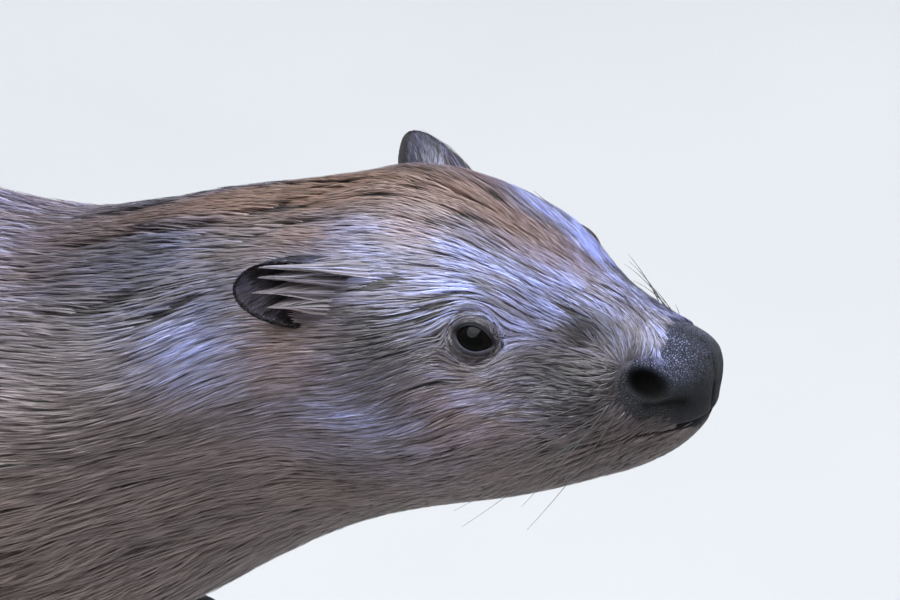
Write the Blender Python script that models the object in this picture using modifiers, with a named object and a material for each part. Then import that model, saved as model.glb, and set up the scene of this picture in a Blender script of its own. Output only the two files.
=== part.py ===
"""A life-size beaver in its swimming pose, held over a flat base by two short rods.

Metres, +Z up, +X towards the nose, +Y to the animal's left. The origin lies under the middle of the whole
model, at the underside of the base. The body is one long loft of upright cross-sections, parted by thin
gaps into head, neck, trunk and tail. Legs are lofts along a smooth curve, webbed feet are ridged fans and
ears are cupped shells. Furred surfaces are the outer ones of the wet coat, at the tips of the hair.
"""

import math

import bmesh
import bpy
import numpy as np
from mathutils import Matrix, Vector

MM = 0.001
NOSE_X = 0.529  # how far the nose tip lies in front of the origin
SWIM_Z = 0.440  # height of the level at which the animal floats; the mouth lies on it
GAP = 0.4 * MM  # between neighbouring solids
SOCKET_GAP = 0.6 * MM  # round an eyeball

# Where the long loft is parted, in millimetres behind the nose tip.
NECK_START, TRUNK_START, TAIL_START = 166.0, 236.0, 768.0
BODY_END = 1058.0
SLIT = 0.4  # width of those cuts, in millimetres
INNER_START = 28.0  # where the line inside the body begins, in millimetres behind the nose tip

# Upright sections of head, body and tail, in millimetres: behind the nose tip, top, underside, half width,
# and height of the widest level, with heights from the swimming level. The last number is the fullness of
# the upper half: 1 is a roof and 2 an ellipse.
SECTIONS = (
    (0, 9, 9, 0, 9, 2.0),  # nose pad
    (1.2, 16.5, -1.5, 7, 8, 2.0),
    (4, 20.5, -9.5, 11.5, 6.5, 1.9),
    (9, 23.5, -17, 16, 4, 1.8),
    (16, 26, -24, 21, 1, 1.7),  # nostrils and upper lip
    (26, 29, -31, 29, -2, 1.55),
    (38, 34, -37, 37, -5, 1.5),  # whisker pads
    (52, 38.5, -43.5, 45.5, -8, 1.6),
    (66, 44, -49.5, 52, -10, 1.85),  # eyes
    (80, 49, -55, 55.5, -11, 1.95),
    (98, 54, -63, 57, -12, 2.0),  # crown and cheeks
    (114, 55, -71, 58, -13, 2.0),
    (128, 53, -79, 57.5, -14, 2.0),
    (142, 47, -88, 57, -17, 2.0),  # ears
    (156, 41, -98, 58.5, -23, 2.0),
    (174, 34, -112, 61.5, -34, 2.0),  # nape
    (201, 23.5, -134, 68, -54, 2.0),
    (237, 6, -159, 82, -73, 2.0),
    (280, -11, -187, 96, -92, 2.0),  # chest
    (326, -17, -208, 106, -105, 2.0),
    (392, -16, -225, 114, -115, 2.0),
    (466, -13, -240, 124, -123, 2.0),
    (540, -17, -248, 132, -130, 2.0),  # belly
    (606, -30, -246, 131, -136, 2.0),
    (668, -54, -232, 117, -142, 2.0),  # rump
    (720, -85, -210, 88, -148, 2.0),
    (763, -110, -192, 59, -152, 2.0),
    (800, -126, -180, 43, -154, 2.0),  # furred root of the tail
    (828, -136, -174, 40, -155, 2.0),
    (860, -144, -170, 49, -157, 2.0),  # scaly paddle
    (900, -149, -167, 61, -158, 2.0),
    (960, -152, -166, 66, -159, 2.0),
    (1008, -153, -166, 62, -159.5, 2.0),
    (1038, -155, -165.5, 45, -160, 2.0),
    (1053, -157, -164, 24, -160.5, 2.0),
    (1058, -160.5, -160.5, 0, -160.5, 2.0),
)

# Swellings and hollows of the head, in millimetres: centre behind the nose, out and up, then reach the same
# three ways, then how far the surface is lifted there.
HEAD_FORMS = (
    (70, 44, 25, 8, 9, 7, -3.0),  # eye hollow
    (68, 35, 36, 15, 10, 7, 1.6),  # brow
    (48, 34, 18, 10, 10, 9, -1.5),  # hollow before the eye
    (37, 24, 23, 6, 6, 6, -1.4),  # dimple above the whisker pad
    (35, 37, -1, 14, 12, 11, 4.0),  # whisker pad
    (10, 13.5, 15.5, 7, 7, 6, 1.5),  # wing of the nostril
    (16, 18, 9, 5, 6, 5, -2.0),  # nostril dent
    (108, 54, -8, 24, 16, 24, 3.0),  # cheek
    (132, 50, 24, 9, 9, 9, -3.0),  # before the ear
)

# Eyeball: behind the nose, out from the middle plane, above the swimming level, and its radius.
EYE = (73.2, 36.7, 21.9)
EYE_RADIUS = 7.6

# Ear: a scoop between a small oval in the head and the oval of its rim, open to the front.
EAR_RIM, EAR_RIM_HALF_LENGTH, EAR_RIM_HALF_HEIGHT = (137.0, 50.0, 28.0), 21.0, 12.5
EAR_BOTTOM, EAR_BOTTOM_SHARE = (133.0, 33.0, 26.0), 0.45
EAR_TURNS, EAR_BULGE, EAR_WALL = (-105.0, 142.0), 2.5, 2.2  # from the rear in degrees, bulge and wall

# Nostril hole: centre, and half sizes along, across and up.
NOSTRIL = (16.0, 17.5, 9.5)
NOSTRIL_SIZE = (5.5, 5.5, 3.8)

# Legs, as controls of a smooth curve, in millimetres: behind the nose, out, height, half size across and
# half size fore and aft.
FORELEG = (
    (338, 60, -135, 24, 30),
    (330, 84, -190, 24, 27),
    (294, 74, -210, 19, 17),
    (250, 38, -182, 12.5, 11.5),
)
HIND_LEG_TRAILING = (
    (612, 80, -150, 36, 60),
    (572, 114, -220, 36, 52),
    (643, 102, -238, 22, 26),
    (700, 108, -251, 16, 14),
)
HIND_LEG_DRAWN_UP = (
    (592, 80, -155, 36, 60),
    (532, 112, -218, 36, 50),
    (576, 102, -247, 22, 26),
    (627, 105, -278, 16, 14),
)
LEG_RINGS = 10

# Webbed hind foot: length of the longest toe, and each toe's share of it.
FOOT_LENGTH = 166.0
TOE_PLACES = (-0.90, -0.47, 0.0, 0.46, 0.86)  # across the fan, inner toe first
TOE_LENGTHS = (0.74, 0.90, 0.99, 1.0, 0.88)
WEB_DEPTH = 0.10  # how far the web's edge lies inside the toe tips
WEB_THICKNESS, TOE_THICKNESS = 1.6, 9.0
TRAILING_HALF_WIDTH, DRAWN_UP_HALF_WIDTH = 52.0, 58.0  # where the toes end

# Closed fore paw: palm, and fingers curled under it.
PALM_LENGTH, PALM_HALF_WIDTH, PALM_HALF_THICKNESS = 34.0, 15.5, 10.0
FINGER_PLACES = (-0.92, -0.46, 0.0, 0.46, 0.92)
FINGER_RADIUS, FIST_REACH, FIST_HALF_HEIGHT = 3.3, 16.0, 10.5
CLAW_LENGTH_FORE, CLAW_LENGTH_HIND = 11.0, 12.0

# Stand.
BASE_X = 0.030  # the base's middle lies under the animal's centre of mass
BASE_LENGTH, BASE_WIDTH, BASE_HEIGHT, BASE_CORNER = 0.56, 0.30, 0.022, 0.045
ROD_RADIUS = 0.008
ROD_PLACES = (0.160, -0.095)  # along X
ROD_SINK = 0.022  # how far a rod reaches into the belly
COLLAR_RADIUS, COLLAR_HEIGHT = 0.017, 0.012


# --- Shape functions -------------------------------------------------------------------------------


def smooth_through(knots, values, at):
    """Monotone cubic: slopes are harmonic means of the neighbouring chords, so nothing overshoots."""
    knots = np.asarray(knots, float)
    values = np.asarray(values, float)
    step = np.diff(knots)
    chord = np.diff(values, axis=0) / step[:, None]
    before, after = chord[:-1], chord[1:]
    same_way = before * after > 0
    total = np.where(same_way, before + after, 1.0)
    inner = np.where(same_way, 2 * before * after / total, 0.0)
    slope = np.concatenate([chord[:1], inner, chord[-1:]])
    i = np.clip(np.searchsorted(knots, at, side="right") - 1, 0, len(step) - 1)
    t = ((np.asarray(at) - knots[i]) / step[i])[:, None]
    h = step[i][:, None]
    return (
        values[i] * (1 + 2 * t) * (1 - t) ** 2
        + slope[i] * h * t * (1 - t) ** 2
        + values[i + 1] * t * t * (3 - 2 * t)
        + slope[i + 1] * h * t * t * (t - 1)
    )


def body_run():
    """Running length at each body section, from the steps in place, top, underside and width."""
    table = np.asarray(SECTIONS, float)
    steps = np.linalg.norm(np.diff(table[:, :4], axis=0) * (1, 0.6, 0.6, 0.8), axis=1)
    return np.concatenate([[0], np.cumsum(steps)]), table


def body_rings(runs, around, grow=0.0):
    """Rings of the body at these running lengths: a superellipse above the widest level, an ellipse below.

    Ring point k stands at k / around of a turn from the back ridge, towards the animal's left side.
    The head's forms and any growth move a point away from a line inside the body.
    """
    knots, table = body_run()
    back, top, bottom, half, level, fullness = smooth_through(knots, table, runs).T
    angle = np.arange(around) / around * math.tau
    s, c = np.sin(angle), np.cos(angle)
    power = np.where(c > 0, 2 / fullness[:, None], 1.0)
    up = np.where(c > 0, (top - level)[:, None], (level - bottom)[:, None]) * np.sign(c) * np.abs(c) ** power
    across = half[:, None] * np.sign(s) * np.abs(s) ** power
    rings = np.stack([np.broadcast_to(back[:, None], up.shape), across, level[:, None] + up], axis=2)
    inside = np.stack([np.maximum(back, INNER_START), 0 * back, level], axis=1)[:, None]
    outward = rings - inside
    outward /= np.maximum(np.linalg.norm(outward, axis=2), 1e-6)[..., None]
    lift = grow
    for x, y, z, reach_x, reach_y, reach_z, amount in HEAD_FORMS:
        away = (rings * (1, 0, 1) + np.abs(rings) * (0, 1, 0) - (x, y, z)) / (reach_x, reach_y, reach_z)
        lift = lift + amount * np.exp(-0.5 * (away**2).sum(axis=2))
    return placed(rings + np.expand_dims(lift, -1) * outward)


def placed(points):
    """Millimetres behind the nose, to the left and above the swimming level, as the model's own metres."""
    points = np.asarray(points, float)
    out = points * (-MM, MM, MM)
    out[..., 0] += NOSE_X
    out[..., 2] += SWIM_Z
    return out


def run_at(back):
    """Running length at which the body has reached this distance behind the nose."""
    knots, table = body_run()
    fine = np.linspace(0, knots[-1], 4000)
    return float(np.interp(back, smooth_through(knots, table[:, :1], fine)[:, 0], fine))


def curve_through(controls, count):
    """Bezier curve: each control weighs in by its Bernstein polynomial."""
    controls = np.asarray(controls, float)
    order = len(controls) - 1
    t = np.linspace(0, 1, count)[:, None]
    return sum(math.comb(order, k) * t**k * (1 - t) ** (order - k) * controls[k] for k in range(order + 1))


def leg_rings(controls, side, around):
    """Rings of a leg: ellipses square to a smooth curve. side is 1 for left and -1 for right."""
    fine = curve_through(controls, LEG_RINGS)
    centre = fine[:, :3] * (1, side, 1)
    ahead = np.gradient(centre, axis=0)
    ahead /= np.linalg.norm(ahead, axis=1)[:, None]
    outward = np.array([0.0, side, 0.0]) - side * ahead[:, 1:2] * ahead
    outward /= np.linalg.norm(outward, axis=1)[:, None]
    foreward = np.cross(outward, ahead)
    angle = np.arange(around) / around * math.tau
    rings = (
        centre[:, None]
        + fine[:, None, 3:4] * np.cos(angle)[None, :, None] * outward[:, None]
        + fine[:, None, 4:5] * np.sin(angle)[None, :, None] * foreward[:, None]
    )
    return placed(rings)


def leg_end(controls, side):
    """Where a leg ends, the way it points there, and unit vectors outward and upward, square to that way."""
    fine = curve_through(controls, LEG_RINGS)[:, :3] * (1, side, 1)
    along = fine[-1] - fine[-2]
    along /= np.linalg.norm(along)
    outward = np.array([0.0, side, 0.0]) - side * along[1] * along
    outward /= np.linalg.norm(outward)
    upward = np.cross(along, outward)
    return fine[-1], along, outward, upward * np.sign(upward[2])


def foot_rings(controls, half_width, side, count, columns):
    """Rings of a webbed foot: an ellipse at the ankle that flattens into a fan with a ridge for each toe.

    A ring runs over the top from the inner edge to the outer one, and back underneath.
    """
    ankle, along, outward, upward = leg_end(controls, side)
    narrow, thick_ankle = controls[-1][3:]
    u = np.linspace(0, 1, count)[:, None]
    place = -np.cos(np.linspace(0, math.pi, columns))[None, :]
    spread = u**1.1
    half = narrow + (half_width - narrow) * (3 * spread**2 - 2 * spread**3)
    reach = np.interp(place, TOE_PLACES, TOE_LENGTHS)
    nearest = np.min(np.abs(place[..., None] - np.asarray(TOE_PLACES)), axis=-1)
    reach = reach - WEB_DEPTH * np.clip(nearest / 0.2, 0, 1) ** 2
    length = FOOT_LENGTH * u * (1 + (reach - 1) * u**2)
    ridges = np.exp(-(((place[..., None] - np.asarray(TOE_PLACES)) * half[..., None] / 5.2) ** 2)).max(-1)
    flat = WEB_THICKNESS + (TOE_THICKNESS * (1 - 0.45 * u) - WEB_THICKNESS) * ridges
    round_ankle = 2 * thick_ankle * np.sqrt(np.clip(1 - place**2, 0, 1))
    rim = np.clip((1 - place**2) * 12, 0, 1) ** 0.5
    fan = np.clip(u / 0.55, 0, 1)
    fan = fan * fan * (3 - 2 * fan)
    thick = round_ankle * (1 - fan) + flat * rim * fan
    sag = -6.0 * u * (1 - place**2)
    middle = (
        ankle
        + (SLIT + length)[..., None] * along
        + (place * half)[..., None] * outward
        + sag[..., None] * upward
    )
    over = middle + 0.5 * thick[..., None] * upward
    under = middle - 0.5 * thick[..., None] * upward
    return placed(np.concatenate([over, under[:, -2:0:-1]], axis=1))


# --- Meshes ----------------------------------------------------------------------------------------


def new_object(name, mesh, collection, material=None):
    obj = bpy.data.objects.new(name, mesh)
    collection.objects.link(obj)
    if material:
        mesh.materials.append(material)
    return obj


def helper(obj):
    """Marks an object as a cutter or guide, which isn't part of the model."""
    obj.hide_render = True
    obj.display_type = "WIRE"
    return obj


def shell(name, rings, collection, material=None, zip_end=0):
    """A closed mesh from rings. An end ring of no size becomes one point and any other end is a flat cap.

    zip_end is the number of columns over the top of a flattened last ring, which is closed top to underside.
    """
    count, around = rings.shape[:2]
    mesh = bpy.data.meshes.new(name)
    bm = bmesh.new()
    rows = [[bm.verts.new(p) for p in ring] for ring in rings]
    for low, high in zip(rows[:-1], rows[1:]):
        for k in range(around):
            bm.faces.new((low[k], low[(k + 1) % around], high[(k + 1) % around], high[k]))
    bm.faces.new(rows[0][::-1])
    if zip_end:
        over = rows[-1][:zip_end]
        under = [rows[-1][0], *rows[-1][: zip_end - 1 : -1], rows[-1][zip_end - 1]]
        for k in range(zip_end - 1):
            corners = dict.fromkeys((over[k], over[k + 1], under[k + 1], under[k]))
            bm.faces.new(tuple(corners))
    else:
        bm.faces.new(rows[-1])
    bmesh.ops.remove_doubles(bm, verts=bm.verts, dist=1e-5)
    bmesh.ops.recalc_face_normals(bm, faces=bm.faces)
    bm.to_mesh(mesh)
    bm.free()
    mesh.shade_smooth()
    return new_object(name, mesh, collection, material)


def ellipsoid(name, centre, sizes, steps, collection, material=None):
    """A closed ball squashed to these half sizes, in metres."""
    mesh = bpy.data.meshes.new(name)
    bm = bmesh.new()
    bmesh.ops.create_uvsphere(bm, u_segments=steps, v_segments=steps // 2 + 1, radius=1)
    matrix = Matrix.Translation(centre) @ Matrix.Diagonal((*sizes, 1))
    bmesh.ops.transform(bm, matrix=matrix, verts=bm.verts)
    bm.to_mesh(mesh)
    bm.free()
    mesh.shade_smooth()
    return new_object(name, mesh, collection, material)


def cylinder(name, radius, low, high, x, collection, material=None, sides=16):
    """An upright closed cylinder from height low to height high, over a place on the X axis."""
    mesh = bpy.data.meshes.new(name)
    bm = bmesh.new()
    bmesh.ops.create_cone(bm, cap_ends=True, segments=sides, radius1=radius, radius2=radius, depth=high - low)
    bmesh.ops.translate(bm, verts=bm.verts, vec=(x, 0, (low + high) / 2))
    bm.to_mesh(mesh)
    bm.free()
    mesh.shade_smooth()
    mesh.set_sharp_from_angle(angle=math.radians(40))
    return new_object(name, mesh, collection, material)


def tapered_rod(name, path, radii, sides, collection, material=None):
    """A closed tube whose size follows radii along a path given in the model's metres."""
    path = np.asarray(path, float)
    ahead = np.gradient(path, axis=0)
    ahead /= np.linalg.norm(ahead, axis=1)[:, None]
    outward = np.cross(ahead, (0.13, 0.97, 0.2))
    outward /= np.linalg.norm(outward, axis=1)[:, None]
    upward = np.cross(outward, ahead)
    angle = np.arange(sides) / sides * math.tau
    radii = np.asarray(radii, float)[:, None, None]
    rings = (
        path[:, None]
        + radii * np.cos(angle)[None, :, None] * outward[:, None]
        + radii * np.sin(angle)[None, :, None] * upward[:, None]
    )
    return shell(name, rings, collection, material)


def boolean(obj, operation, other=None, collection=None):
    """Cuts or joins with another object, or with every object of a collection."""
    modifier = obj.modifiers.new(operation.title(), "BOOLEAN")
    modifier.operation = operation
    modifier.solver = "EXACT"
    if collection:
        modifier.operand_type = "COLLECTION"
        modifier.collection = collection
    else:
        modifier.object = other


def collection_named(name, parent=None):
    found = bpy.data.collections.new(name)
    (parent or bpy.context.scene.collection).children.link(found)
    return found


def finish(name, colour, roughness, metallic=0.0):
    made = bpy.data.materials.new(name)
    made.use_nodes = True
    shader = made.node_tree.nodes["Principled BSDF"]
    shader.inputs["Base Color"].default_value = (*colour, 1)
    shader.inputs["Roughness"].default_value = roughness
    shader.inputs["Metallic"].default_value = metallic
    made.diffuse_color = (*colour, 1)
    return made


# --- The animal ------------------------------------------------------------------------------------


def body_shell(name, start, end, count, around, collection, coat=None, grow=0.0, ease=1.0):
    """The body between two distances behind the nose. An ease over 1 packs rings towards its start."""
    runs = run_at(start) + (run_at(end) - run_at(start)) * np.linspace(0, 1, count) ** ease
    return shell(name, body_rings(runs, around, grow), collection, coat)


def ear(side, word, model, coat, head_room):
    """A scoop: a wall from an oval in the head out to its rim, bulging on the way, open at the lower front."""
    along = np.array([0.90, 0.43, 0.05])
    along /= np.linalg.norm(along)
    up = np.array([0.0, 0.0, 1.0])
    turn = np.radians(np.linspace(*EAR_TURNS, 15))[None, :, None]
    u = np.linspace(0, 1, 6)[:, None, None]
    spoke = EAR_RIM_HALF_LENGTH * np.cos(turn) * along + EAR_RIM_HALF_HEIGHT * np.sin(turn) * up
    rim = np.asarray(EAR_RIM) + spoke
    bottom = np.asarray(EAR_BOTTOM) + EAR_BOTTOM_SHARE * spoke
    outward = np.cos(turn) * along + np.sin(turn) * up
    grid = bottom + (rim - bottom) * u + EAR_BULGE * np.sin(math.pi * u) * outward
    mesh = bpy.data.meshes.new(f"ear_{word}")
    bm = bmesh.new()
    rows = [[bm.verts.new(p) for p in line] for line in placed(grid * (1, side, 1))]
    for low, high in zip(rows[:-1], rows[1:]):
        for k in range(len(low) - 1):
            bm.faces.new((low[k], low[k + 1], high[k + 1], high[k]))
    bmesh.ops.recalc_face_normals(bm, faces=bm.faces)
    bm.to_mesh(mesh)
    bm.free()
    mesh.shade_smooth()
    obj = new_object(f"ear_{word}", mesh, model, coat)
    wall = obj.modifiers.new("Wall", "SOLIDIFY")
    wall.thickness = EAR_WALL * MM
    wall.offset = 0
    boolean(obj, "DIFFERENCE", head_room)
    return obj


def claw(name, root, direction, curl, length, radius, collection):
    """A short curved horn: it leaves along direction and bends towards curl."""
    t = np.linspace(0, 1, 3)[:, None]
    path = np.asarray(root) + length * MM * (t * np.asarray(direction) + 0.35 * t**2 * np.asarray(curl))
    return helper(tapered_rod(name, path, radius * MM * (1.02 - 0.85 * t[:, 0]), 5, collection))


def hind_foot(word, side, controls, half_width, model, cutters, skin):
    """A webbed foot with a claw at the end of each toe."""
    columns = 21
    rings = foot_rings(controls, half_width, side, 8, columns)
    obj = shell(f"hind_foot_{word}", rings, model, skin, zip_end=columns)
    claws = collection_named(f"claws_{word}_hind", cutters)
    middle_row = (rings[-1][:columns] + np.roll(rings[-1][::-1], 1, axis=0)[:columns]) / 2
    before = (rings[-2][:columns] + np.roll(rings[-2][::-1], 1, axis=0)[:columns]) / 2
    places = -np.cos(np.linspace(0, math.pi, columns))
    for n, place in enumerate(TOE_PLACES):
        tip = np.array([np.interp(place, places, middle_row[:, k]) for k in range(3)])
        inner = np.array([np.interp(place, places, before[:, k]) for k in range(3)])
        ahead = (tip - inner) / np.linalg.norm(tip - inner)
        claw(f"hind_claw_{word}_{n}", tip - 3 * MM * ahead, ahead, (0, 0, -1), CLAW_LENGTH_HIND, 2.6, claws)
    boolean(obj, "UNION", collection=claws)
    return obj


def fore_paw(word, side, model, cutters, skin):
    """A palm with five fingers curled under it, closed as in swimming."""
    wrist, along, across, upward = leg_end(FORELEG, side)
    narrow, thin = FORELEG[-1][3:]
    start = wrist + along * SLIT
    u = np.linspace(0, 1, 5)[:, None, None]
    angle = (np.arange(12) / 12 * math.tau)[None, :, None]
    swell = np.sqrt(np.clip(1 - (u * 0.97) ** 4, 0, 1))
    wide = (narrow + (PALM_HALF_WIDTH - narrow) * np.sin(u * math.pi / 2)) * swell
    thick = (thin + (PALM_HALF_THICKNESS - thin) * np.sin(u * math.pi / 2)) * swell
    drop = -7.0 * u**2
    rings = (
        start
        + PALM_LENGTH * u * along
        + wide * np.cos(angle) * across
        + (thick * np.sin(angle) + drop) * upward
    )
    obj = shell(f"fore_paw_{word}", placed(rings), model, skin)
    fingers = collection_named(f"fingers_{word}", cutters)
    turn = np.radians(np.linspace(75, -105, 4))[:, None]
    sunk = np.array([0.5, 1.0, 1.0, 1.0])[:, None]  # a finger grows out of the middle of the palm
    hub = start + 0.55 * PALM_LENGTH * along - 3.5 * upward
    flip = np.array([-1, 1, 1])
    for n, place in enumerate(FINGER_PLACES):
        bend = FIST_REACH * np.cos(turn) * along + FIST_HALF_HEIGHT * np.sin(turn) * upward
        path = hub + place * PALM_HALF_WIDTH * across + (1 - 0.15 * place**2) * sunk * bend
        radii = FINGER_RADIUS * np.linspace(1.0, 0.75, 4)
        helper(tapered_rod(f"finger_{word}_{n}", placed(path), radii * MM, 5, fingers))
        ahead = (path[-1] - path[-2]) / np.linalg.norm(path[-1] - path[-2])
        root = placed(path[-1] - 2.5 * ahead)
        claw(f"fore_claw_{word}_{n}", root, ahead * flip, -upward * flip, CLAW_LENGTH_FORE, 2.2, fingers)
    boolean(obj, "UNION", collection=fingers)
    return obj


def leg(name, controls, side, model, coat, trunk_room):
    """A leg that ends at the trunk's surface."""
    obj = shell(name, leg_rings(controls, side, 14), model, coat)
    boolean(obj, "DIFFERENCE", trunk_room)
    return obj


def stand(model, cutters, trunk, wood, steel):
    """A flat base with round corners, and two rods with collars that end in pockets in the belly."""
    outline = bpy.data.curves.new("stand_base_outline", "CURVE")
    outline.dimensions = "2D"
    outline.fill_mode = "BOTH"
    outline.extrude = BASE_HEIGHT / 2
    spline = outline.splines.new("POLY")
    corners = []
    for cx, cy, first in ((1, 1, 0), (-1, 1, 90), (-1, -1, 180), (1, -1, 270)):
        centre = Vector((BASE_X + cx * (BASE_LENGTH / 2 - BASE_CORNER), cy * (BASE_WIDTH / 2 - BASE_CORNER)))
        for step in range(7):
            turn = math.radians(first + 15 * step)
            corners.append(centre + BASE_CORNER * Vector((math.cos(turn), math.sin(turn))))
    spline.points.add(len(corners) - 1)
    for point, corner in zip(spline.points, corners):
        point.co = (*corner, 0, 1)
    spline.use_cyclic_u = True
    guide = bpy.data.objects.new("stand_base_outline", outline)
    model.objects.link(guide)
    bpy.context.view_layer.update()
    evaluated = guide.evaluated_get(bpy.context.evaluated_depsgraph_get())
    mesh = bpy.data.meshes.new_from_object(evaluated)
    bpy.data.objects.remove(guide)
    bm = bmesh.new()
    bm.from_mesh(mesh)
    bmesh.ops.remove_doubles(bm, verts=bm.verts, dist=1e-5)
    bmesh.ops.translate(bm, verts=bm.verts, vec=(0, 0, BASE_HEIGHT / 2))
    bmesh.ops.recalc_face_normals(bm, faces=bm.faces)
    bm.to_mesh(mesh)
    bm.free()
    mesh.name = "stand_base"
    mesh.materials.clear()
    new_object("stand_base", mesh, model, wood)
    for word, x in zip(("front", "rear"), ROD_PLACES):
        belly = belly_height(x)
        foot, tip = BASE_HEIGHT + GAP, belly + ROD_SINK
        rod = cylinder(f"stand_rod_{word}", ROD_RADIUS, foot, tip, x, model, steel)
        collar_top = BASE_HEIGHT + COLLAR_HEIGHT
        collar = cylinder(f"collar_{word}", COLLAR_RADIUS, foot, collar_top, x, cutters, sides=24)
        boolean(rod, "UNION", helper(collar))
        pocket = cylinder(f"pocket_{word}", ROD_RADIUS + GAP, belly - 0.05, tip + GAP, x, cutters)
        boolean(trunk, "DIFFERENCE", helper(pocket))


def belly_height(x):
    """Height of the body's underside over a place along X."""
    table = np.asarray(SECTIONS, float)
    back = (NOSE_X - x) / MM
    return SWIM_Z + MM * float(np.interp(back, table[:, 0], table[:, 2]))


def clear_scene():
    for obj in list(bpy.data.objects):
        bpy.data.objects.remove(obj)


def build():
    clear_scene()
    model = collection_named("swimming_beaver")
    cutters = collection_named("cutters")
    coat = finish("wet_brown_coat", (0.135, 0.092, 0.075), 0.45)
    ear_coat = finish("dark_ear_coat", (0.050, 0.042, 0.042), 0.5)
    bare = finish("bare_scaly_skin", (0.060, 0.055, 0.055), 0.5)
    eye_dark = finish("dark_eye", (0.012, 0.009, 0.008), 0.08)
    wood = finish("stand_wood", (0.50, 0.36, 0.22), 0.5)
    steel = finish("stand_steel", (0.60, 0.60, 0.61), 0.32, 1.0)

    head_span = (0, NECK_START, 22, 32)
    trunk_span = (TRUNK_START + SLIT, TAIL_START, 17, 28)
    head = body_shell("head", *head_span, model, coat, ease=1.3)
    body_shell("neck", NECK_START + SLIT, TRUNK_START, 6, 28, model, coat)
    trunk = body_shell("trunk", *trunk_span, model, coat)
    body_shell("tail", TAIL_START + SLIT, BODY_END, 14, 18, model, bare)
    head_room = helper(body_shell("head_room", *head_span, cutters, grow=GAP / MM, ease=1.3))
    trunk_room = helper(body_shell("trunk_room", *trunk_span, cutters, grow=GAP / MM))

    for side, word in ((1, "left"), (-1, "right")):
        ear(side, word, model, ear_coat, head_room)
        centre = placed(np.asarray(EYE) * (1, side, 1))
        ellipsoid(f"eye_{word}", centre, [EYE_RADIUS * MM] * 3, 10, model, eye_dark)
        socket = ellipsoid(f"socket_{word}", centre, [EYE_RADIUS * MM + SOCKET_GAP] * 3, 10, cutters)
        boolean(head, "DIFFERENCE", helper(socket))
        nostril = placed(np.asarray(NOSTRIL) * (1, side, 1))
        hollow = ellipsoid(f"nostril_{word}", nostril, np.asarray(NOSTRIL_SIZE) * MM, 8, cutters)
        boolean(head, "DIFFERENCE", helper(hollow))
        leg(f"foreleg_{word}", FORELEG, side, model, coat, trunk_room)
        fore_paw(word, side, model, cutters, bare)

    for side, word, controls, half_width in (
        (-1, "right", HIND_LEG_TRAILING, TRAILING_HALF_WIDTH),
        (1, "left", HIND_LEG_DRAWN_UP, DRAWN_UP_HALF_WIDTH),
    ):
        leg(f"hind_leg_{word}", controls, side, model, coat, trunk_room)
        hind_foot(word, side, controls, half_width, model, cutters, bare)

    stand(model, cutters, trunk, wood, steel)


build()
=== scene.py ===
"""A life-size beaver in its swimming pose: one skin, its wet coat in locks, eyes, claws and whiskers.

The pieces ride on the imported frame. Shapes are worked out in maker's millimetres: behind the nose tip, to the
animal's left, and above the level at which it floats. placed() turns these into the frame's metres.
"""

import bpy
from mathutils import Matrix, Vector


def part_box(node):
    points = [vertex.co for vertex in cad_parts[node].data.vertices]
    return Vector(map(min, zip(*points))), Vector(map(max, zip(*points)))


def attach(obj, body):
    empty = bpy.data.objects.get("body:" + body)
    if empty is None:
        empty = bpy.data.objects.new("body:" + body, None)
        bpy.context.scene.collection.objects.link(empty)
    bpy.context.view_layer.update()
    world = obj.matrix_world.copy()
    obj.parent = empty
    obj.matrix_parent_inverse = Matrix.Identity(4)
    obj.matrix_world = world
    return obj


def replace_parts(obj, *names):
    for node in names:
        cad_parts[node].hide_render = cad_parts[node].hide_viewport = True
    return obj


bl_info = {
    "name": "Swimming Beaver",
    "version": (1, 0, 0),
    "blender": (4, 5, 0),
    "location": "3D View > Sidebar > Beaver",
    "description": "Builds the skin, wet coat and fine pieces of a swimming beaver over its packed frame",
    "category": "Add Mesh",
}

import math

import bpy
import numpy as np
from bpy.props import FloatProperty, FloatVectorProperty, IntProperty, PointerProperty

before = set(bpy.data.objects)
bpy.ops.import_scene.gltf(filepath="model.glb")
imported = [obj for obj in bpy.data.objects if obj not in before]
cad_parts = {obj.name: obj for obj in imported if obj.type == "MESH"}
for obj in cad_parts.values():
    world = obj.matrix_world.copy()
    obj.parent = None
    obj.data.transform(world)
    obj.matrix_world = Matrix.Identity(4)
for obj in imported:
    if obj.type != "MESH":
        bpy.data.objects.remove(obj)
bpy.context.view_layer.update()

MM = 0.001
NOSE_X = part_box("head")[1][0]  # how far the nose tip lies in front of the origin
SWIM_Z = 0.440  # height of the level at which the animal floats
TAU = math.tau

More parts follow.
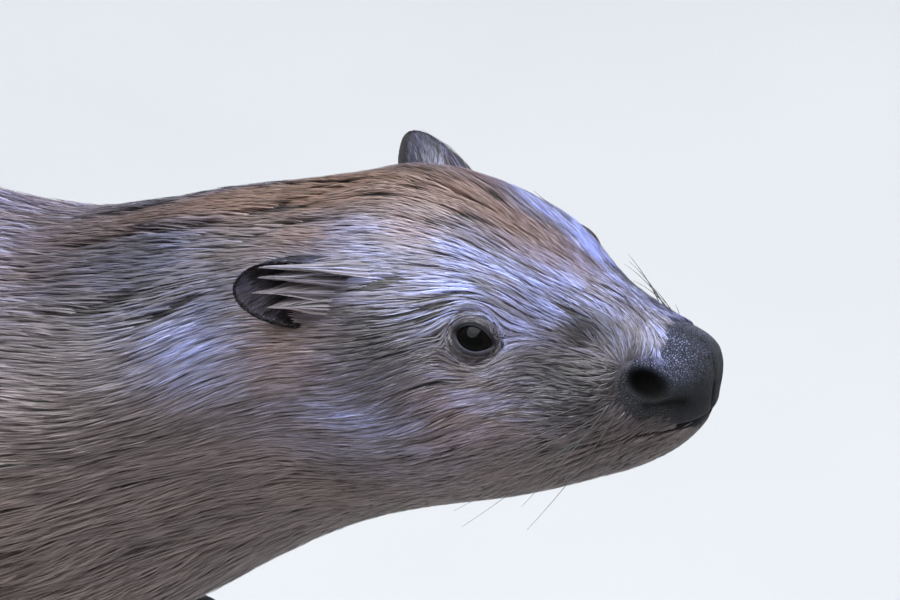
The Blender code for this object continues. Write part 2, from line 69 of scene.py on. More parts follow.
# Upright sections of head, body and tail: behind the nose tip, top, underside, half width, height of the
# widest level, and the fullness of the upper half, where 1 is a roof and 2 an ellipse.
SECTIONS = np.array(
    (
        (0, 9, 9, 0, 9, 2.0),
        (1.2, 16.5, -1.5, 7, 8, 2.0),
        (4, 20.5, -9.5, 11.5, 6.5, 1.9),
        (9, 23.5, -17, 16, 4, 1.8),
        (16, 26, -24, 21, 1, 1.7),
        (26, 29, -31, 29, -2, 1.55),
        (38, 34, -37, 37, -5, 1.5),
        (52, 38.5, -43.5, 45.5, -8, 1.6),
        (66, 44, -49.5, 52, -10, 1.85),
        (80, 49, -55, 55.5, -11, 1.95),
        (98, 54, -63, 57, -12, 2.0),
        (114, 55, -71, 58, -13, 2.0),
        (128, 53, -79, 57.5, -14, 2.0),
        (142, 47, -88, 57, -17, 2.0),
        (156, 41, -98, 58.5, -23, 2.0),
        (174, 34, -112, 61.5, -34, 2.0),
        (201, 23.5, -134, 68, -54, 2.0),
        (237, 6, -159, 82, -73, 2.0),
        (280, -11, -187, 96, -92, 2.0),
        (326, -17, -208, 106, -105, 2.0),
        (392, -16, -225, 114, -115, 2.0),
        (466, -13, -240, 124, -123, 2.0),
        (540, -17, -248, 132, -130, 2.0),
        (606, -30, -246, 131, -136, 2.0),
        (668, -54, -232, 117, -142, 2.0),
        (720, -85, -210, 88, -148, 2.0),
        (763, -110, -192, 59, -152, 2.0),
        (800, -126, -180, 43, -154, 2.0),
        (828, -136, -174, 40, -155, 2.0),
        (860, -144, -170, 49, -157, 2.0),
        (900, -149, -167, 61, -158, 2.0),
        (960, -152, -166, 66, -159, 2.0),
        (1008, -153, -166, 62, -159.5, 2.0),
        (1038, -155, -165.5, 45, -160, 2.0),
        (1053, -157, -164, 24, -160.5, 2.0),
        (1058, -160.5, -160.5, 0, -160.5, 2.0),
    ),
    float,
)
INNER_START = 28.0  # where the line inside the body, which lifts point away from, begins
HEAD_END = 190.0  # no form of the head reaches farther back
TAIL_BARE = 846.0  # where the fur ends on the tail

# Swellings and hollows of the head: centre behind the nose, out and up, reach the same three ways, and lift.
HEAD_FORMS = (
    (70, 44, 25, 8, 9, 7, -3.0),  # eye hollow
    (68, 35, 36, 15, 10, 7, 1.6),  # brow
    (48, 34, 18, 10, 10, 9, -1.5),  # hollow before the eye
    (37, 24, 23, 6, 6, 6, -1.4),  # dimple above the whisker pad
    (35, 37, -1, 14, 12, 11, 4.0),  # whisker pad
    (10, 13.5, 15.5, 7, 7, 6, 1.5),  # wing of the nostril
    (16, 18, 9, 5, 6, 5, -2.0),  # nostril dent
    (108, 54, -8, 24, 16, 24, 3.0),  # cheek
    (132, 50, 24, 9, 9, 9, -3.0),  # before the ear
)

EYE = np.array((73.6, 35.3, 21.2))
EYE_NORMAL = np.array((-0.22, 0.86, 0.46))
EYE_WELL = (8.0, 11.8)  # the well in the skin round an eye: its floor's reach and its edge's
HAIRLESS_ROUND_EYE = 9.6
LID_HALF_HEIGHTS = (4.25, 3.85)  # upper and lower lid
EYE_FULLNESS = 0.45  # how far the front of an eyeball swells
NOSTRIL = np.array((16.0, 18.2, 10.8))
NOSE_FOLD = np.array(((15.0, 20.5, 3.0), (5.0, 13.0, 3.5)))  # ends of the fold under each nostril
NOSTRIL_WAY_IN, NOSTRIL_LONG_WAY = np.array((0.50, -0.74, -0.45)), np.array((0.9, 0.28, 0.42))
WHORL = np.array((26.0, 20.0, 16.5))  # where the short fur behind the nostril fans out from
EAR_RIM, EAR_RIM_HALF_LENGTH, EAR_RIM_HALF_HEIGHT = np.array((137.0, 50.0, 28.0)), 21.0, 12.5
EAR_BOTTOM, EAR_BOTTOM_SHARE = np.array((133.0, 33.0, 26.0)), 0.45
EAR_TURNS, EAR_BULGE = (math.radians(-105.0), math.radians(142.0)), 2.5
EAR_ALONG = np.array((0.90, 0.43, 0.05)) / np.linalg.norm((0.90, 0.43, 0.05))
EAR_HOLLOW, EAR_HOLLOW_REACH, EAR_HOLLOW_LEAN = (135, 46, 27), (8.5, 18, 11.0), 0.45

# Control points of the legs' curves: behind the nose, out and up, then half the width and half the thickness.
FORELEG = (
    (338, 60, -135, 24, 30),
    (330, 84, -190, 24, 27),
    (294, 74, -210, 19, 17),
    (250, 38, -182, 12.5, 11.5),
)
HIND_LEG_TRAILING = (
    (612, 80, -150, 36, 60),
    (572, 114, -220, 36, 52),
    (643, 102, -238, 22, 26),
    (700, 108, -251, 16, 14),
)
HIND_LEG_DRAWN_UP = (
    (592, 80, -155, 36, 60),
    (532, 112, -218, 36, 50),
    (576, 102, -247, 22, 26),
    (627, 105, -278, 16, 14),
)
HIND_SIDES = ((-1, "right", HIND_LEG_TRAILING, 52.0), (1, "left", HIND_LEG_DRAWN_UP, 58.0))
SIDES = ((1, "left"), (-1, "right"))
LEG_COAT = 5.0  # depth of the coat on the upper leg
FOOT_LENGTH = 166.0
FOOT_COLUMNS = 61
TOE_PLACES = np.array((-0.90, -0.47, 0.0, 0.46, 0.86))
TOE_LENGTHS = (0.74, 0.90, 0.99, 1.0, 0.88)
WEB_DEPTH, WEB_THICKNESS, TOE_THICKNESS = 0.10, 1.6, 9.0
PALM_LENGTH, PALM_HALF_WIDTH, PALM_HALF_THICKNESS = 34.0, 15.5, 10.0
FINGER_PLACES = (-0.92, -0.46, 0.0, 0.46, 0.92)
FINGER_RADIUS, FIST_REACH, FIST_HALF_HEIGHT = 3.3, 16.0, 10.5

# Rectangles on the chart that skin and coat share: along and across at the low end, then at the high end.
# Parts that come in pairs have one for the left, 1, and one for the right, -1.
WHOLE_CHART = (0.0, 0.0, 1.0, 1.0)
BODY_CHART = (0.01, 0.01, 0.78, 0.99)
FINGER_CHART = (0.80, 0.89, 0.84, 0.895)
CHARTS = {
    "ear": {1: (0.80, 0.78, 0.88, 0.88), -1: (0.90, 0.78, 0.98, 0.88)},
    "lids": {1: (0.80, 0.90, 0.84, 0.94), -1: (0.80, 0.95, 0.84, 0.99)},
    "foreleg": {1: (0.80, 0.50, 0.98, 0.60), -1: (0.80, 0.62, 0.98, 0.72)},
    "fore_paw": {1: (0.80, 0.73, 0.88, 0.77), -1: (0.89, 0.73, 0.97, 0.77)},
    "hind_limb": {1: (0.80, 0.01, 0.99, 0.24), -1: (0.80, 0.25, 0.99, 0.48)},
    "hindleg": {1: (0.80, 0.01, 0.98, 0.24), -1: (0.80, 0.25, 0.98, 0.48)},
}

# Where along the body the coat's depth, and the length and width of its locks, take these values.
COAT_PLACES = (5, 12, 20, 45, 75, 110, 160, 230, 330, 450, 650, 780, 846)
COAT_DEPTHS = (0.1, 0.7, 1.0, 1.7, 2.4, 3.0, 3.8, 5.5, 8.0, 9.0, 9.0, 6.0, 0.6)
LOCK_LENGTHS = (2.4, 2.8, 4.5, 9.0, 13.0, 17.0, 22.0, 28.0, 34.0, 40.0, 40.0, 28.0, 10.0)
LOCK_WIDTHS = (0.26, 0.28, 0.32, 0.38, 0.42, 0.46, 0.55, 0.75, 1.15, 1.4, 1.4, 1.2, 0.8)

# Partings, where wet locks have drawn apart: the two ends behind the nose, out and up, and half the gap.
PARTINGS = np.array(
    (
        (78, 33, 38, 92, 41, 34, 0.8),
        (79, 36, 35, 90, 42, 32, 0.7),
        (82, 39, 31, 96, 46, 27, 0.7),
        (93, 43, 31, 109, 50, 25, 0.9),
        (94, 46, 28, 107, 51, 23, 0.6),
        (99, 36, 40, 115, 43, 32, 0.9),
        (95, 48, 25, 112, 53, 18, 0.6),
        (88, 49, 22, 104, 55, 13, 0.6),
        (70, 47, 13, 88, 55, 8, 0.5),
        (142, 19, 41, 160, 20, 32, 0.6),
        (155, 18, 35, 176, 28, 22, 0.7),
        (112, 11, 53, 134, 9.5, 47, 0.5),
        (128, 9.5, 49, 152, 11, 39, 0.6),
        (146, 10, 41, 176, 14, 27, 0.6),
        (136, 1, 46, 156, 7, 37, 0.6),
        (150, 5, 39, 180, 12, 26, 0.6),
        (90, 12, 51, 106, 20, 50, 0.5),
        (84, 6, 49, 99, 12, 52, 0.5),
        (104, 6, 54, 120, 3, 52, 0.5),
        (102, 45, 27, 116, 49, 21, 0.7),
        (42, 18, 29, 52, 18, 34, 0.5),
        (38, 30, 15, 48, 32, 18, 0.5),
        (176, 40, 14, 196, 46, -2, 1.0),
        (186, 14, 28, 214, 18, 16, 1.0),
        (200, 36, 4, 226, 42, -14, 1.2),
        (218, 10, 12, 250, 16, -4, 1.3),
    )
)

# Markings and painted light: centre behind the nose, out and up, reach the same three ways, the channel and the
# amount.
# Channel 0 is a painted reflection of the sky on wet fur that faces it, 1 is reddish brown, and 2 is dark fur
# and painted shade.
MARKINGS_AND_PAINTED_LIGHT = (
    (60, 12, 38, 24, 9, 14, 0, 0.90),  # forehead
    (68, 28, 36, 19, 11, 10, 0, 1.0),  # brow
    (46, 3, 36, 11, 10, 8, 0, 0.9),  # between the brows
    (48, 10, 34, 11, 10, 8, 0, 0.90),  # bridge of the muzzle
    (25, 9, 28, 8, 10, 7, 0, 0.12),  # behind the nose
    (112, 30, 44, 13, 11, 9, 0, 0.42),  # temple
    (102, 37, 39, 15, 9, 8, 0, 0.22),  # before the ear
    (82, 21, 46, 7, 4.5, 6, 0, 1.0),  # patch over the brow
    (69, 48, 12, 9, 7, 6, 0, 0.60),  # under the eye
    (50, 43, 7, 11, 8, 7, 0, 0.65),  # jowl
    (100, 56, 0, 26, 14, 14, 0, 0.40),  # cheek
    (127, 46, 27, 8, 8, 8, 0, 0.20),  # front of the ear
    (166, 50, 6, 13, 12, 11, 0, 1.0),  # under and behind the ear
    (200, 34, 8, 30, 16, 16, 0, 0.35),  # side of the neck
    (206, 20, 27, 22, 10, 10, 0, 0.60),  # beside the nape
    (14, 11, 20, 8, 12, 8, 0, 0.98),  # top of the nose
    (130, 52, 12, 12, 9, 10, 1, 1.0),  # in front of the ear
    (140, 27, 43, 11, 4, 6, 1, 0.9),  # over the ear
    (95, 20, 48, 9, 6, 6, 1, 1.0),  # beside the crown
    (76, 48, 8, 12, 8, 8, 1, 0.45),  # cheek bone
    (60, 50, 2, 16, 10, 12, 1, 0.35),  # jaw
    (3, 10, 4, 8, 16, 7, 2, 0.85),  # front of the nose
    (11, 17, 3, 9, 8, 4.5, 2, 1.0),  # fold under the nostril: painted shade in the crease
    (24, 20, 13, 5, 5, 5, 2, 0.6),  # edge of the nostril
    (39, 31, 11, 12, 9, 7, 2, 0.95),  # side of the muzzle
    (29, 32, 6, 9, 8, 6, 2, 0.60),  # whisker pad
    (38, 17, 24, 5, 4, 3.5, 2, 0.80),  # dimple: painted shade in the hollow
    (88, 45, 22, 13, 9, 7, 2, 0.35),  # behind the eye
    (89, 56, 9, 12, 8, 8, 2, 0.50),  # hollow of the cheek: painted shade
    (73, 40, 22, 9, 9, 8, 2, 0.35),  # round the eye
    (214, 42, -8, 30, 26, 26, 2, 0.45),  # side of the neck
    (226, 16, 8, 26, 22, 14, 2, 0.40),  # nape
    (194, 26, 16, 16, 13, 13, 2, 0.85),  # back of the neck
    (97, 47, 20, 12, 8, 8, 2, 0.85),  # between eye and ear
    (160, 44, 21, 8, 9, 10, 2, 0.92),  # behind the ear: painted shade under the ear
    (127, 49, 24, 8, 6, 8, 2, 0.25),  # fur at the front of the ear
)


# --- Settings


def length_setting(name, description, default):
    """A length in metres."""
    return FloatProperty(name=name, description=description, default=default, unit="LENGTH", precision=4)


def share_setting(name, description, default, least=0.0):
    """A share up to 1."""
    return FloatProperty(
        name=name, description=description, default=default, min=least, max=1.0, subtype="FACTOR"
    )


def colour_setting(name, description, default):
    """A colour of three parts."""
    return FloatVectorProperty(
        name=name, description=description, default=default, subtype="COLOR", size=3, min=0.0, max=1.0
    )


def angle_setting(name, description, degrees):
    """An angle, its default given in degrees."""
    return FloatProperty(name=name, description=description, default=math.radians(degrees), subtype="ANGLE")


def power_setting(name, description, default):
    """A lamp's power in watts."""
    return FloatProperty(name=name, description=description, default=default, unit="POWER")


class BeaverSizes(bpy.types.PropertyGroup):
    """Sizes of the finer pieces."""

    eye_radius: length_setting("Eye radius", "Radius of an eyeball", 0.0076)
    eye_opening: length_setting("Eye opening", "Half length of the gap between the lids", 0.0058)
    whisker_length: length_setting("Whisker length", "Length of the longest whiskers", 0.055)
    whiskers: IntProperty(name="Whiskers", description="Whiskers on each side", default=22, min=0)
    scale_length: length_setting("Tail scale", "Length of a scale on the tail", 0.0056)
    coat_share: share_setting("Coat share", "Share of the full number of locks that is laid", 1.0, 0.02)
    wetness: share_setting("Wetness", "How far the locks draw together into points", 0.85)


class BeaverColours(bpy.types.PropertyGroup):
    """Colours of coat, skin, eyes, stand and floor."""

    coat: colour_setting("Coat", "Grey-brown of the wet coat", (0.190, 0.148, 0.138))
    # The sheen colour is a painted reflection: the sky's blue-lavender on wet fur, put into the base colour.
    painted_sky_sheen: colour_setting("Sheen", "Cool colour of wet fur that faces the sky", (0.47, 0.53, 0.95))
    warm: colour_setting("Crown", "Reddish brown of the crown and nape", (0.255, 0.155, 0.112))
    # The dark colour is dark fur, and also painted shade between the locks, in hollows and folds and deep in
    # the ears.
    dark: colour_setting("Dark", "Dark fur between the locks", (0.022, 0.018, 0.021))
    bare: colour_setting("Bare skin", "Skin of nose, feet and tail", (0.048, 0.047, 0.060))
    claw: colour_setting("Claws", "Horn of the claws", (0.045, 0.034, 0.028))
    eye: colour_setting("Eyes", "Iris of the eyes", (0.005, 0.0035, 0.003))
    wood: colour_setting("Wood", "Base of the stand", (0.47, 0.33, 0.20))
    steel: colour_setting("Steel", "Rods of the stand", (0.62, 0.62, 0.63))
    floor: colour_setting("Floor", "Plain floor", (0.70, 0.70, 0.69))


class BeaverStage(bpy.types.PropertyGroup):
    """Camera and lamps."""

    azimuth: angle_setting("Azimuth", "Turn of the camera round the animal", 29.3)
    elevation: angle_setting("Elevation", "Height of the camera as an angle", 29.6)
    distance: FloatProperty(
        name="Distance", description="From the camera to the head", default=3.41, unit="LENGTH"
    )
    lens: FloatProperty(name="Lens", description="Focal length in millimetres", default=400.0, min=20.0)
    key_power: power_setting("Key lamp", "Power of the wide lamp above", 62.0)
    glint_power: power_setting("Glint lamp", "Power of the wide lamp that only wet surfaces show", 220.0)
    fill_power: power_setting("Fill lamp", "Power of the lamp beside the camera", 9.0)


# --- Shape functions


def unit(vectors):
    """Vectors divided by their own lengths."""
    return vectors / np.maximum(np.linalg.norm(vectors, axis=-1, keepdims=True), 1e-9)


def ease(x, low, high):
    """0 below low, 1 above high, and the cubic 3t^2 - 2t^3 between."""
    t = np.clip((x - low) / (high - low), 0, 1)
    return t * t * (3 - 2 * t)


def between(ends, share):
    """The value at a share of the way from the first end to the second."""
    return ends[0] + (ends[1] - ends[0]) * share


def side_fold(points):
    """Multipliers that mirror points on the right onto the left, and leave the others."""
    side = np.where(points[..., 1:2] < 0, -1.0, 1.0)
    return np.concatenate([np.ones_like(side), side, np.ones_like(side)], axis=-1)


def on_left(points):
    """Points, with those on the right mirrored onto the left."""
    return points * side_fold(points)


def near(points, place, reach):
    """1 at a place, and less away from it by a Gaussian with a reach for each axis."""
    return np.exp(-0.5 * (((points - place) / reach) ** 2).sum(axis=-1))


def from_segment(points, start, way):
    """What leads to points from the nearest place on a segment, and that place's share of its length."""
    t = np.clip((points - start) @ way / (way @ way), 0, 1)
    return points - start - t[..., None] * way, t


def from_eye(points, axis=EYE_NORMAL):
    """Distance of points from the eye's axis on their side: what is left without the part along it."""
    rel = on_left(points) - EYE
    return np.linalg.norm(rel - (rel @ axis)[..., None] * axis, axis=-1)


def over_mouth(folded):
    """Height over the line of the closed mouth, which falls by 0.06 backward."""
    return folded[..., 2] + 6.5 + 0.06 * folded[..., 0]


def placed(points):
    """Maker's millimetres as the frame's metres: the first axis is reversed and the origin is moved."""
    return points * (-MM, MM, MM) + (NOSE_X, 0, SWIM_Z)


def in_maker_millimetres(points):
    """The frame's metres as maker's millimetres."""
    return (points - (NOSE_X, 0, SWIM_Z)) / (-MM, MM, MM)


def smooth_through(knots, values, at):
    """Monotone cubic: slopes are harmonic means of the neighbouring chords, so nothing overshoots."""
    step = np.diff(knots)
    chord = np.diff(values, axis=0) / step[:, None]
    before, after = chord[:-1], chord[1:]
    same_way = before * after > 0
    total = np.where(same_way, before + after, 1.0)
    inner = np.where(same_way, 2 * before * after / total, 0.0)
    slope = np.concatenate([chord[:1], inner, chord[-1:]])
    i = np.clip(np.searchsorted(knots, at, side="right") - 1, 0, len(step) - 1)
    t = ((at - knots[i]) / step[i])[:, None]
    h = step[i][:, None]
    return (
        values[i] * (1 + 2 * t) * (1 - t) ** 2
        + slope[i] * h * t * (1 - t) ** 2
        + values[i + 1] * t * t * (3 - 2 * t)
        + slope[i + 1] * h * t * t * (t - 1)
    )


# Running length at each section, from the steps in place, top, underside and width.
KNOTS = np.concatenate(
    [[0], np.cumsum(np.linalg.norm(np.diff(SECTIONS[:, :4], axis=0) * (1, 0.6, 0.6, 0.8), axis=1))]
)
FINE_RUNS = np.linspace(0, KNOTS[-1], 8000)
FINE_BACKS = smooth_through(KNOTS, SECTIONS[:, :1], FINE_RUNS)[:, 0]


def run_at(back):
    """Running length at a distance behind the nose."""
    return np.interp(back, FINE_BACKS, FINE_RUNS)


def coat_depth(back):
    """Depth of the coat at a distance behind the nose."""
    return np.interp(back, COAT_PLACES, COAT_DEPTHS)


def body_surface(run, turn):
    """The body at a running length and a turn from the back ridge towards the left.

    Upper halves are superellipses and lower halves ellipses. The head's forms are Gaussian lifts away from a
    line inside the body, and the coat's depth is taken off the same way.
    """
    shape = np.broadcast(run, turn).shape
    run = np.broadcast_to(run, shape).ravel()
    turn = np.broadcast_to(turn, shape).ravel()
    back, top, bottom, half, level, fullness = smooth_through(KNOTS, SECTIONS, run).T
    s, c = np.sin(TAU * turn), np.cos(TAU * turn)
    power = np.where(c > 0, 2 / fullness, 1.0)
    up = np.where(c > 0, top - level, level - bottom) * np.sign(c) * np.abs(c) ** power
    across = half * np.sign(s) * np.abs(s) ** power
    point = np.stack([back, across, level + up], axis=1)
    outward = unit(point - np.stack([np.maximum(back, INNER_START), 0 * back, level], axis=1))
    lift = -coat_depth(back)
    head = back < HEAD_END
    folded = point[head] * side_fold(point[head])
    for form in HEAD_FORMS:
        lift[head] += form[6] * near(folded, form[:3], form[3:6])
    return (point + lift[:, None] * outward).reshape(*shape, 3)


def bezier(controls, t):
    """Bezier curve at shares t of its length: each control weighs in by its Bernstein polynomial."""
    controls = np.asarray(controls, float)
    order = len(controls) - 1
    t = np.asarray(t, float)[..., None]
    return sum(math.comb(order, k) * t**k * (1 - t) ** (order - k) * controls[k] for k in range(order + 1))


def leg_end(controls, side):
    """Where a leg ends, the way it points there, and unit vectors outward and upward, square to that way."""
    fine = bezier(controls, np.linspace(0, 1, 10))[:, :3] * (1, side, 1)
    along = unit(fine[-1] - fine[-2])
    outward = unit(np.array([0.0, side, 0.0]) - side * along[1] * along)
    upward = np.cross(along, outward)
    return fine[-1], along, outward, upward * np.sign(upward[2])


def leg_coat_depth(u):
    """Depth of the coat at a share u of a leg's length."""
    return LEG_COAT * (1 - ease(u, 0.55, 1.0))


def leg_surface(controls, side, u, place, top):
    """A leg at a share u of its length: an ellipse square to a Bezier curve, less the coat's depth.

    place and top say where on the ellipse: the share outward and the share towards the upper side.
    """
    u = np.asarray(u, float)
    here = bezier(controls, u)
    step = 0.002
    ahead = unit((bezier(controls, u + step) - bezier(controls, u - step))[..., :3] * (1, side, 1))
    outward = unit(np.array([0.0, side, 0.0]) - side * ahead[..., 1:2] * ahead)
    _, along, end_outward, end_upward = leg_end(controls, side)
    upward = np.cross(ahead, outward) * np.sign(end_upward @ np.cross(along, end_outward))
    half = here[..., 3:] - leg_coat_depth(u)[..., None]
    wide = half[..., :1] * place[..., None] * outward
    return here[..., :3] * (1, side, 1) + wide + half[..., 1:] * top[..., None] * upward


def foot_places():
    """Shares across a foot from its inner edge at -1 to its outer edge at 1, closer together at the edges."""
    return -np.cos(np.linspace(0, math.pi, FOOT_COLUMNS))


def foot_rings(controls, half_width, side, count):
    """Rings of a webbed foot: an ellipse at the ankle that flattens into a fan with a ridge for each toe."""
    ankle, along, outward, upward = leg_end(controls, side)
    narrow, thick_ankle = controls[-1][3:]
    u = np.linspace(0, 1, count)[:, None]
    place = foot_places()[None, :]
    spread = u**1.1
    half = narrow + (half_width - narrow) * (3 * spread**2 - 2 * spread**3)
    nearest = np.min(np.abs(place[..., None] - TOE_PLACES), axis=-1)
    reach = np.interp(place, TOE_PLACES, TOE_LENGTHS) - WEB_DEPTH * np.clip(nearest / 0.2, 0, 1) ** 2
    length = FOOT_LENGTH * u * (1 + (reach - 1) * u**2)
    ridges = np.exp(-(((place[..., None] - TOE_PLACES) * half[..., None] / 5.2) ** 2)).max(-1)
    knuckles = 0.6 * ridges * np.sin(length / 3.4) * ease(u, 0.25, 0.6)
    flat = WEB_THICKNESS + (TOE_THICKNESS * (1 - 0.45 * u) - WEB_THICKNESS) * ridges + knuckles
    round_ankle = 2 * thick_ankle * np.sqrt(np.clip(1 - place**2, 0, 1))
    rim = np.clip((1 - place**2) * 12, 0, 1) ** 0.5
    fan = ease(u, 0, 0.55)
    thick = round_ankle * (1 - fan) + flat * rim * fan
    thick = thick * np.sqrt(np.clip((1.004 - u) / 0.03, 0.02, 1))
    sag = -6.0 * u * (1 - place**2) + 0.4 * np.sin(place * 40) * (1 - ridges) * fan
    middle = ankle + (0.4 + length)[..., None] * along + (place * half)[..., None] * outward
    middle = middle + sag[..., None] * upward
    rise = 0.5 * thick[..., None] * upward
    return np.concatenate([middle + rise, (middle - rise)[:, -2:0:-1]], axis=1)


def ear_middle(u, t, side):
    """Middle of the ear's wall: a straight blend from a small oval to the rim's, bulging by half a sine."""
    cos, sin = np.cos(t)[..., None], np.sin(t)[..., None]
    up = np.array((0.0, 0.0, 1.0))
    spoke = EAR_RIM_HALF_LENGTH * cos * EAR_ALONG + EAR_RIM_HALF_HEIGHT * sin * up
    bottom = EAR_BOTTOM + EAR_BOTTOM_SHARE * spoke
    u = u[..., None]
    bulge = EAR_BULGE * np.sin(math.pi * u) * (cos * EAR_ALONG + sin * up)
    return (bottom + (EAR_RIM + spoke - bottom) * u + bulge) * (1, side, 1)


def ear_surface(wall, t, side):
    """The ear's skin: wall runs from 0 at the bottom of the inner face over the rim at 0.5 to 1 outside."""
    wall, t = np.broadcast_arrays(wall, t)
    u = 1 - np.abs(2 * wall - 1)
    step = 0.002
    along = ear_middle(u + step, t, side) - ear_middle(u - step, t, side)
    round_it = ear_middle(u, t + step, side) - ear_middle(u, t - step, side)
    outward = unit(np.cross(along, round_it)) * side
    across = 2 * (t - EAR_TURNS[0]) / (EAR_TURNS[1] - EAR_TURNS[0]) - 1
    ends = np.clip(1.002 - np.abs(across) ** 10, 0, 1) ** 0.5
    thick = (0.45 + 0.75 * (1 - u)) * ends
    offset = -thick * np.cos(math.pi * wall)
    return ear_middle(u, t, side) + offset[..., None] * outward


# --- Markings and the lie of the coat


class Lattice:
    """Smooth noise from 0 to 1: random values at whole numbers, blended by the cubic 3t^2 - 2t^3."""

    def __init__(self, seed):
        self.values = np.random.default_rng(seed).random((32, 32, 32))

    def at(self, points):
        low = np.floor(points).astype(int)
        t = points - low
        t = t * t * (3 - 2 * t)
        total = 0
        for corner in np.ndindex(2, 2, 2):
            index = (low + corner) % 32
            weight = np.prod(np.where(corner, t, 1 - t), axis=-1)
            total = total + weight * self.values[index[..., 0], index[..., 1], index[..., 2]]
        return total


PATCHES = Lattice(5)


def markings_and_painted_light(points):
    """Four shares at points of the animal: painted sky reflection, reddish brown, dark and painted shade, bare
    skin.
    """
    folded = on_left(points)
    back, out, up = np.moveaxis(folded, -1, 0)
    top, level = (np.interp(back, SECTIONS[:, 0], SECTIONS[:, k]) for k in (1, 4))
    height = (up - level) / np.maximum(top - level, 3.0)
    found = np.zeros((*back.shape, 4))
    for mark in MARKINGS_AND_PAINTED_LIGHT:
        channel, amount = mark[6:]
        found[..., channel] = 1 - (1 - found[..., channel]) * (1 - amount * near(folded, mark[:3], mark[3:6]))
    streaks = PATCHES.at(points / (34, 7, 7))
    found[..., 0] *= 1 - 0.6 * found[..., 1]
    ridge = ease(back, 22, 60) * (1 - ease(back, 185, 320)) * ease(height, 0.2, 0.6)
    ridge *= np.exp(-((out / np.interp(back, (40, 110), (9, 17))) ** 4))
    found[..., 1] = np.maximum(found[..., 1], ridge * 0.95)
    found[..., 0] *= 1 - 0.75 * ridge
    body = ease(back, 190, 300) * (1 - ease(back, 700, 800))
    # Painted reflection over the body: the sky's sheen grows towards the top of the back.
    found[..., 0] = np.maximum(found[..., 0], body * 0.40 * ease(height, 0.0, 0.9))
    found[..., 1] = np.maximum(found[..., 1], body * 0.60)
    fine = PATCHES.at(points / (17, 2.6, 2.6) + (5, 0, 0))
    found[..., 0] *= np.clip(0.25 + 0.9 * streaks + 0.8 * (fine - 0.4), 0.1, 1.3)
    found[..., 1] *= 0.55 + 0.9 * PATCHES.at(points / (21, 6, 6) + (7, 0, 0))
    # Less painted sky reflection low down on the body and underneath.
    below = ease(-up, 25, 60) * ease(-height, 0.2, 0.8)
    found[..., 0] *= 1 - 0.8 * below
    rise = np.where(up > 8, (up - 8) / 60, (up - 8) / 17)
    pad = ((back - 1) / 17) ** 2 + (out / 26) ** 2 + rise**2
    wing = ((back - 17) / 10.5) ** 2 + ((out - 18) / 9.5) ** 2 + ((up - 8.5) / 10.5) ** 2
    nose = 1 - ease(np.minimum(pad, wing) + 0.5 * (PATCHES.at(points / 2.2) - 0.5), 0.75, 1.2)
    found[..., 3] = np.maximum(nose, ease(back, TAIL_BARE - 8, TAIL_BARE + 12))
    return np.clip(found, 0, 1)


def lie_of_coat(points):
    """The way the coat lies: backward, down the sides, in a fan from behind each nostril, and round the eyes.

    Round an eye it is the flow past a cylinder: its mirror image in the spoke, times (R/r)^2, is taken off.
    """
    folded = on_left(points)
    back, out, up = np.moveaxis(folded, -1, 0)
    fall = 0.26 * ease(out, 8, 40) * ease(back, 20, 60)
    fall = fall + 0.45 * near(folded, (88, 50, 8), (20, 14, 15))
    fall = fall - 0.25 * ease(back, 115, 145) * (1 - ease(back, 150, 165)) * ease(up, 0, 20)
    fall = fall + 0.60 * near(folded, (186, 48, 2), (22, 22, 30))
    fall = fall * (1 - 0.5 * ease(back, 260, 420))
    sway = 0.26 * (PATCHES.at(points / (26, 15, 15)) - 0.5)
    sway = sway + 0.14 * (PATCHES.at(points / (9, 6, 6) + (3, 0, 0)) - 0.5)
    way = np.stack([np.ones_like(back), 0.10 * ease(up, 10, 40) + sway, -fall + sway], axis=-1)
    spoke = folded - WHORL
    reach = np.linalg.norm(spoke, axis=-1, keepdims=True)
    way = way + 2.4 * spoke / (reach + 1.0) * np.exp(-((reach / 14.0) ** 2))
    rel = folded - EYE
    height = (rel @ EYE_NORMAL)[..., None]
    rel = rel - height * EYE_NORMAL
    reach = np.linalg.norm(rel, axis=-1, keepdims=True)
    flat = way - (way @ EYE_NORMAL)[..., None] * EYE_NORMAL
    spoke = rel / np.maximum(reach, 1e-6)
    mirrored = 2 * (flat * spoke).sum(-1, keepdims=True) * spoke - flat
    close = (1 - ease(reach, 18, 34)) * (np.abs(height) < 20)
    way = way - close * np.minimum((8.6 / np.maximum(reach, 1e-6)) ** 2, 1.0) * mirrored
    return way * side_fold(points)


# --- Mesh making


class Shape:
    """Points, faces of three and four corners, and a place in the unit square for each point.

    turn is how far a whole turn round the shape goes up the square, for the faces that close it. bare is the
    share of bare skin, and lids are the shares of dark lid edge, a painted highlight along the wet line, and
    painted shade in hollows, where a shape has them.
    """

    bare = lids = None

    def __init__(self, points, quads=None, triangles=None, square=None, turn=9.0):
        self.points = np.asarray(points, float)
        self.quads = np.zeros((0, 4), int) if quads is None else quads
        self.triangles = np.zeros((0, 3), int) if triangles is None else triangles
        self.square = np.zeros((len(self.points), 2)) if square is None else square
        self.turn = np.broadcast_to(turn, len(self.points))

    def outward(self):
        """Turns the faces round if the signed volume that they enclose is negative."""
        q, t = self.quads, self.triangles
        corners = np.concatenate([q[:, [0, 1, 2]], q[:, [0, 2, 3]], t])
        a, b, c = (self.points[corners[:, k]] - self.points.mean(axis=0) for k in range(3))
        if (a * np.cross(b, c)).sum() < 0:
            self.quads, self.triangles = q[:, ::-1], t[:, ::-1]
        return self


def joined(shapes):
    """Several shapes as one, their point numbers moved up in turn."""
    starts = np.cumsum([0] + [len(s.points) for s in shapes[:-1]])
    return Shape(
        np.concatenate([s.points for s in shapes]),
        np.concatenate([s.quads + n for s, n in zip(shapes, starts)]),
        np.concatenate([s.triangles + n for s, n in zip(shapes, starts)]),
        np.concatenate([s.square for s in shapes]),
        np.concatenate([s.turn for s in shapes]),
    )


